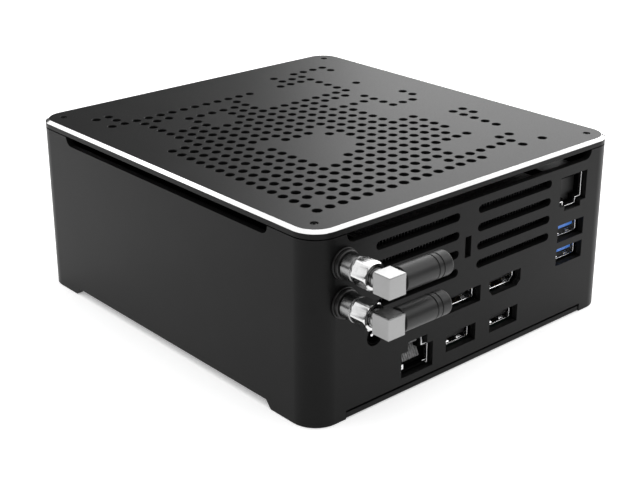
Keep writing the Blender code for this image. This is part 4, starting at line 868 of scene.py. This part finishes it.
def make_dc_inlet():
    low, high, axis = round_jack("dc_jack")
    face = high.y
    # the body takes the near-black: black plastic darkened further as painted shade round the bore
    body = soft_box(low, Vector((high.x, REAR - 0.0029, high.z)), 0.0003)
    sleeve = turned(((0.0026, face - 0.0090), (0.0032, face - 0.0090), (0.0032, face - 0.0002),
                     (0.0030, face), (0.0028, face), (0.0026, face - 0.0002)), axis, "y")
    pin = turned(((0.0, face - 0.0095), (0.0009, face - 0.0095), (0.0009, face - 0.0012),
                  (0.0006, face - 0.0008), (0.0, face - 0.0007)), axis, "y", 24)
    add_piece("dc_inlet", join_shapes([body, sleeve, pin], (0, 0, 1)), ["dc_jack"],
              (BLACK_WITH_PAINTED_SHADE, FINISHES["plated_steel"]))


def make_headset_socket():
    low, high, axis = round_jack("audio_jack")
    face = low.y
    bore = 0.00175
    body = soft_box(Vector((low.x, FRONT + 0.0029, low.z)), high, 0.0003)
    sleeve = turned(((bore, face + 0.0060), (0.0028, face + 0.0060), (0.0028, face + 0.0002),
                     (0.0026, face), (0.0019, face), (bore, face + 0.0002)), axis, "y")
    contact = turned(((bore, face + 0.0010), (0.0020, face + 0.0010), (0.0020, face + 0.0040),
                      (bore, face + 0.0040)), axis, "y")
    add_piece("headset_socket", join_shapes([body, sleeve, contact], (0, 0, 1)), ["audio_jack"],
              (FINISHES["black_plastic"], GOLD))


# ---------------------------------------------------------------- front controls
def make_controls():
    behind = FRONT + WALL + BEHIND_WALL
    low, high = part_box("power_button")
    middle = (low + high) / 2
    flange = (high.x - low.x) / 2
    radius = flange - BUTTON_FLANGE
    side = radius - 0.00005
    face = low.y
    add_piece("power_key", turned((
        (0.0, face + 0.00035), (radius * 0.55, face + 0.00025), (radius * 0.80, face + 0.00008),
        (radius * 0.88, face), (radius * 0.94, face + 0.00005), (side, face + 0.0003), (side, behind),
        (flange, behind), (flange, FRONT + 0.0040), (radius / 2, FRONT + 0.0040),
        (radius / 2, high.y), (0.0, high.y)), (middle.x, middle.z), "y", 72), ["power_button"])

    low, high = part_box("power_light")
    middle = (low + high) / 2
    lens = (high.x - low.x) / 4
    add_piece("power_lens", turned((
        (0.0, low.y), (lens * 0.6, low.y + 0.00005), (lens * 0.95, low.y + 0.0002),
        (lens, low.y + 0.0005), (lens, behind), (2 * lens, behind), (2 * lens, high.y),
        (0.0, high.y)), (middle.x, middle.z), "y", 32), ["power_light"])


# ---------------------------------------------------------------- cooling
def make_fins():
    """Row of folded fins on a base; each fin's top is bent over towards the next one."""
    low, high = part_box("fin_stack")
    pitch = (high.x - low.x - FIN_GAUGE) / (FIN_COUNT - 1)
    shapes = [box(low, Vector((high.x, high.y, low.z + 0.0008)))]
    for i in range(FIN_COUNT):
        x = low.x + i * pitch
        shapes.append(box(Vector((x, low.y, low.z)), Vector((x + FIN_GAUGE, high.y, high.z))))
        shapes.append(box(Vector((x, low.y, high.z - FIN_GAUGE)),
                          Vector((x + pitch * 0.8, high.y, high.z))))
    add_piece("fin_stack_folded", join_shapes(shapes), ["fin_stack"], crease=30.0)


def blade_outline():
    """One swept blade of the blower wheel, seen along its axis, with the wheel's middle at zero."""
    edges = ([], [])
    for step in range(BLADE_STEPS + 1):
        share = step / BLADE_STEPS
        radius = BLADE_START + share * (WHEEL_RADIUS - BLADE_START)
        angle = math.radians(BLADE_SWEEP) * share ** 1.4
        point = Vector((radius * math.cos(angle), radius * math.sin(angle)))
        across = Vector((-point.y, point.x)).normalized()
        for edge, side in zip(edges, (-1, 1)):
            edge.append(point + across * side * BLADE_HALF_GAUGE)
    return edges[0] + edges[1][::-1]


def make_wheel():
    low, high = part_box("blower_rotor")
    centre = ((low + high) / 2).xy
    disc = low.z + 0.0012
    hub = HUB_RADIUS
    shapes = [turned(((0.0, disc - 0.0001), (WHEEL_RADIUS, low.z), (WHEEL_RADIUS, disc), (hub, disc),
                      (hub, high.z - 0.0006), (hub - 0.0004, high.z - 0.0001), (hub - 0.0008, high.z),
                      (0.0, high.z)), centre, "z", 96)]
    blade = blade_outline()
    for i in range(BLADE_COUNT):
        turn = Matrix.Rotation(2 * math.pi * i / BLADE_COUNT, 2)
        shapes.append(prism([turn @ point + centre for point in blade], disc - 0.0003, high.z - 0.0004))
    inner = WHEEL_RADIUS - 0.0010
    hoop_low, hoop_high = high.z - 0.0012, high.z - 0.0003
    shapes.append(turned(((inner, hoop_low), (WHEEL_RADIUS, hoop_low), (WHEEL_RADIUS, hoop_high),
                          (inner, hoop_high)), centre, "z", 96))
    add_piece("blower_wheel", join_shapes(shapes), ["blower_rotor"], crease=30.0)


def make_cooling():
    make_fins()
    add_piece("blower_case", rounded_copy("blower_housing", 0.0003), ["blower_housing"])
    make_wheel()
    add_piece("cooler_plate", rounded_copy("cold_plate", 0.0004), ["cold_plate"])
    for number in (1, 2):
        node = f"heat_pipe_{number}"
        add_piece(f"{node}_flattened", rounded_copy(node, 0.0011, 4), [node])


# ---------------------------------------------------------------- antennas
def make_antenna_socket(side, axis):
    """Flanged socket with a threaded barrel."""
    low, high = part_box(f"antenna_socket_{side}")
    inside, root = 0.0016, BARREL_RADIUS - THREAD_DEPTH
    flange_front = REAR - 0.0028
    shoulder, flange_back = flange_front - 0.0040, flange_front - 0.0020
    profile = [(0.0, low.y), (inside - 0.0001, low.y), (inside, low.y + 0.0001), (inside, shoulder),
               (BARREL_RADIUS, shoulder), (BARREL_RADIUS, flange_back), (0.0045, flange_back),
               (0.0046, flange_back + 0.0001), (0.0046, flange_front)]
    y = flange_front
    while y + THREAD_PITCH < high.y:
        profile += [(root, y + THREAD_PITCH * 0.1), (BARREL_RADIUS, y + THREAD_PITCH * 0.5),
                    (BARREL_RADIUS, y + THREAD_PITCH * 0.6), (root, y + THREAD_PITCH)]
        y += THREAD_PITCH
    profile += [(0.0028, high.y), (0.0, high.y)]
    add_piece(f"antenna_thread_{side}", turned(profile, axis, "y"), [f"antenna_socket_{side}"],
              crease=30.0)


def make_ring_nut(side, axis):
    """Washer against the rear wall with a ring nut on it."""
    low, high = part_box(f"ring_nut_{side}")
    start, end = low.y, high.y
    radius = (high.x - low.x) / 2
    groove, nut = radius - 0.00060, radius - 0.00035
    bore = BARREL_RADIUS + 0.0002
    add_piece(f"ring_nut_{side}_turned", turned((
        (bore, start), (radius, start), (radius, start + 0.00055), (radius - 0.00012, start + 0.00068),
        (groove, start + 0.00070), (groove, start + 0.00080), (nut, start + 0.00095),
        (nut, end - 0.00035), (radius - 0.00070, end), (bore + 0.0002, end), (bore, end - 0.0002)),
        axis, "y", 64), [f"ring_nut_{side}"], crease=30.0)


def hexagon(axis, corner):
    """Hexagon with one flat up and its corners cut off at a turned radius."""
    points = []
    for i in range(6 * HEX_STEPS):
        angle = 2 * math.pi * (i + 0.5) / (6 * HEX_STEPS)
        turn = (angle % (math.pi / 3)) - math.pi / 6
        reach = min(HEX_ACROSS_FLATS / 2 / math.cos(turn), corner)
        points.append((axis[0] + reach * math.cos(angle), axis[1] + reach * math.sin(angle)))
    return points


def make_coupling(side, axis):
    """Coupling nut: a round collar, then a hexagon with turned-down corners."""
    low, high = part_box(f"coupling_nut_{side}")
    hex_start = low.y + COLLAR_LENGTH
    waist = COLLAR_RADIUS - 0.0003
    collar = turned((
        (NUT_BORE, low.y), (waist, low.y), (COLLAR_RADIUS, low.y + 0.0003),
        (COLLAR_RADIUS, hex_start - 0.0009), (waist, hex_start - 0.0007), (waist, hex_start + 0.0001),
        (NUT_BORE, hex_start + 0.0001)), axis, "y", 64)
    full = hexagon(axis, HEX_ACROSS_FLATS / math.sqrt(3))
    narrow = hexagon(axis, HEX_ACROSS_FLATS / 2 * 1.01)
    bore = circle(*axis, NUT_BORE, 6 * HEX_STEPS, math.pi / (6 * HEX_STEPS))
    hexed = loft(((bore, hex_start), (narrow, hex_start), (full, hex_start + 0.00035),
                  (full, high.y - 0.00035), (narrow, high.y), (bore, high.y)), "y", ring=True)
    # The collar takes the nickel darkened as painted shade. The hexagon takes the bright silver.
    add_piece(f"coupling_{side}", join_shapes([collar, hexed], (1, 0)), [f"coupling_nut_{side}"],
              (FINISHES["polished_silver"], NICKEL_WITH_PAINTED_SHADE), 24.0)


def make_elbow(side, axis, centre):
    """Neck with a groove, bevelled block, and spigot inside the sleeve."""
    half = Vector((ELBOW_SIDE / 2,) * 3)
    block = soft_box(centre - half, centre + half, 0.00032, 3)
    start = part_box(f"antenna_socket_{side}")[1].y + 0.0003
    end = centre.y - ELBOW_SIDE / 2 + 0.0003
    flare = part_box(f"coupling_nut_{side}")[1].y + 0.0004
    groove = NECK_RADIUS - 0.0005
    neck = turned(((0.0, start), (NECK_RADIUS, start), (NECK_RADIUS, flare), (groove, flare + 0.0002),
                   (groove, flare + 0.0007), (NECK_RADIUS, flare + 0.0009), (NECK_RADIUS, end),
                   (0.0, end)), axis, "y")
    face = centre.x - ELBOW_SIDE / 2
    spigot = turned(((0.0, face + 0.0003), (0.0026, face + 0.0003), (0.0026, face - 0.0047),
                     (0.0023, face - 0.0050), (0.0, face - 0.0050)), (centre.y, centre.z), "x", 32)
    # The whole elbow takes the nickel darkened as painted shade.
    add_piece(f"elbow_{side}", join_shapes([block, neck, spigot]), [f"antenna_elbow_{side}"],
              (NICKEL_WITH_PAINTED_SHADE,), 35.0)


def make_sleeve(side, centre):
    """Moulded sleeve with two grooves and a rounded end."""
    low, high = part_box(f"antenna_sleeve_{side}")
    tip, mouth = low.x, high.x
    radius = SLEEVE_RADIUS
    profile = [(0.0, mouth - 0.0050), (0.0029, mouth - 0.0050), (0.0029, mouth),
               (radius - 0.00015, mouth), (radius, mouth - 0.00015)]
    for groove in SLEEVE_GROOVES:
        place = mouth + SLEEVE_GAP - groove
        profile += [(radius, place + 0.00030), (radius - 0.00030, place + 0.00012),
                    (radius - 0.00030, place - 0.00012), (radius, place - 0.00030)]
    for i in range(9):
        angle = math.pi / 2 * i / 8
        profile.append((radius - TIP_ROUND * (1 - math.cos(angle)),
                        tip + TIP_ROUND * (1 - math.sin(angle))))
    profile += [(radius * 0.4, tip), (0.0, tip)]
    add_piece(f"sleeve_{side}", turned(profile, (centre.y, centre.z), "x", 64),
              [f"antenna_sleeve_{side}"], crease=30.0)


def make_antenna(side):
    ring_low, ring_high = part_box(f"ring_nut_{side}")
    sleeve_low, sleeve_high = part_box(f"antenna_sleeve_{side}")
    middle = (ring_low + ring_high) / 2
    axis = (middle.x, middle.z)
    centre = (sleeve_low + sleeve_high) / 2
    centre.x = sleeve_high.x + SLEEVE_GAP + ELBOW_SIDE / 2
    make_antenna_socket(side, axis)
    make_ring_nut(side, axis)
    make_coupling(side, axis)
    make_elbow(side, axis, centre)
    make_sleeve(side, centre)


# ---------------------------------------------------------------- boards
def make_boards():
    for node in ("mainboard", "io_board", "ram_module", "ssd_module", "wifi_card", "cpu", "ram_socket",
                 "blower_motor", "antenna_lead_upper", "antenna_lead_lower"):
        keep_node(node)


# ---------------------------------------------------------------- studio
def make_floor():
    """White paper on the ground, lit a little from below."""
    mesh = bpy.data.meshes.new("studio_floor")
    reach = FLOOR_REACH
    mesh.from_pydata([(-reach, -reach, 0.0), (reach, -reach, 0.0), (reach, reach, 0.0),
                      (-reach, reach, 0.0)], [], [(0, 1, 2, 3)])
    paper = finish_of("studio_paper", grey(0.90), grey(0.92), 0.9, blotch=2.0, grain=40.0, bump=0.0)
    shader = paper.node_tree.nodes["Principled BSDF"]
    shader.inputs["Emission Color"].default_value = (1.0, 1.0, 1.0, 1.0)
    shader.inputs["Emission Strength"].default_value = FLOOR_GLOW
    mesh.materials.append(paper)
    floor = bpy.data.objects.new("studio_floor", mesh)
    bpy.context.scene.collection.objects.link(floor)


def make_world():
    world = bpy.data.worlds.new("studio")
    bpy.context.scene.world = world
    world.use_nodes = True
    background = world.node_tree.nodes["Background"]
    background.inputs["Color"].default_value = (1.0, 1.0, 1.0, 1.0)
    background.inputs["Strength"].default_value = WORLD_GLOW


def make_panel(name, aim, bearing, elevation, distance, width, height, radiance):
    """Rectangular soft light that faces the aim and that the camera doesn't see."""
    light = bpy.data.lights.new(name, "AREA")
    light.shape = "RECTANGLE"
    light.size = width
    light.size_y = height
    light.energy = radiance * math.pi * width * height
    lamp = bpy.data.objects.new(name, light)
    turn, rise = math.radians(bearing), math.radians(elevation)
    way = Vector((math.cos(turn) * math.cos(rise), math.sin(turn) * math.cos(rise), math.sin(rise)))
    lamp.location = aim + way * distance
    lamp.rotation_euler = (-way).to_track_quat("-Z", "Y").to_euler()
    lamp.visible_camera = False
    bpy.context.scene.collection.objects.link(lamp)


def make_camera(location, aim):
    data = bpy.data.cameras.new("camera")
    data.lens = CAMERA_LENS
    data.sensor_width = 36.0
    data.shift_y = CAMERA_SHIFT_Y
    camera = bpy.data.objects.new("camera", data)
    camera.location = location
    camera.rotation_euler = (aim - camera.location).to_track_quat("-Z", "Y").to_euler()
    bpy.context.scene.collection.objects.link(camera)
    bpy.context.scene.camera = camera
    bpy.context.scene.view_settings.view_transform = "Standard"


def make_studio():
    ground = Vector((case_middle.x, case_middle.y, 0.0))
    aim = ground + Vector((0.0, 0.0, CAMERA_TARGET_HEIGHT))
    make_floor()
    make_world()
    for name, *panel in PANELS:
        make_panel(name, aim, *panel)
    make_camera(ground + Vector(CAMERA_FROM_CASE), aim)


make_studio()
make_lid()
make_screws()
make_case()
make_rear_usb()
make_front_usb()
make_stack()
make_lower_lan()
make_video()
make_dc_inlet()
make_headset_socket()
make_controls()
make_cooling()
make_antenna("upper")
make_antenna("lower")
make_boards()
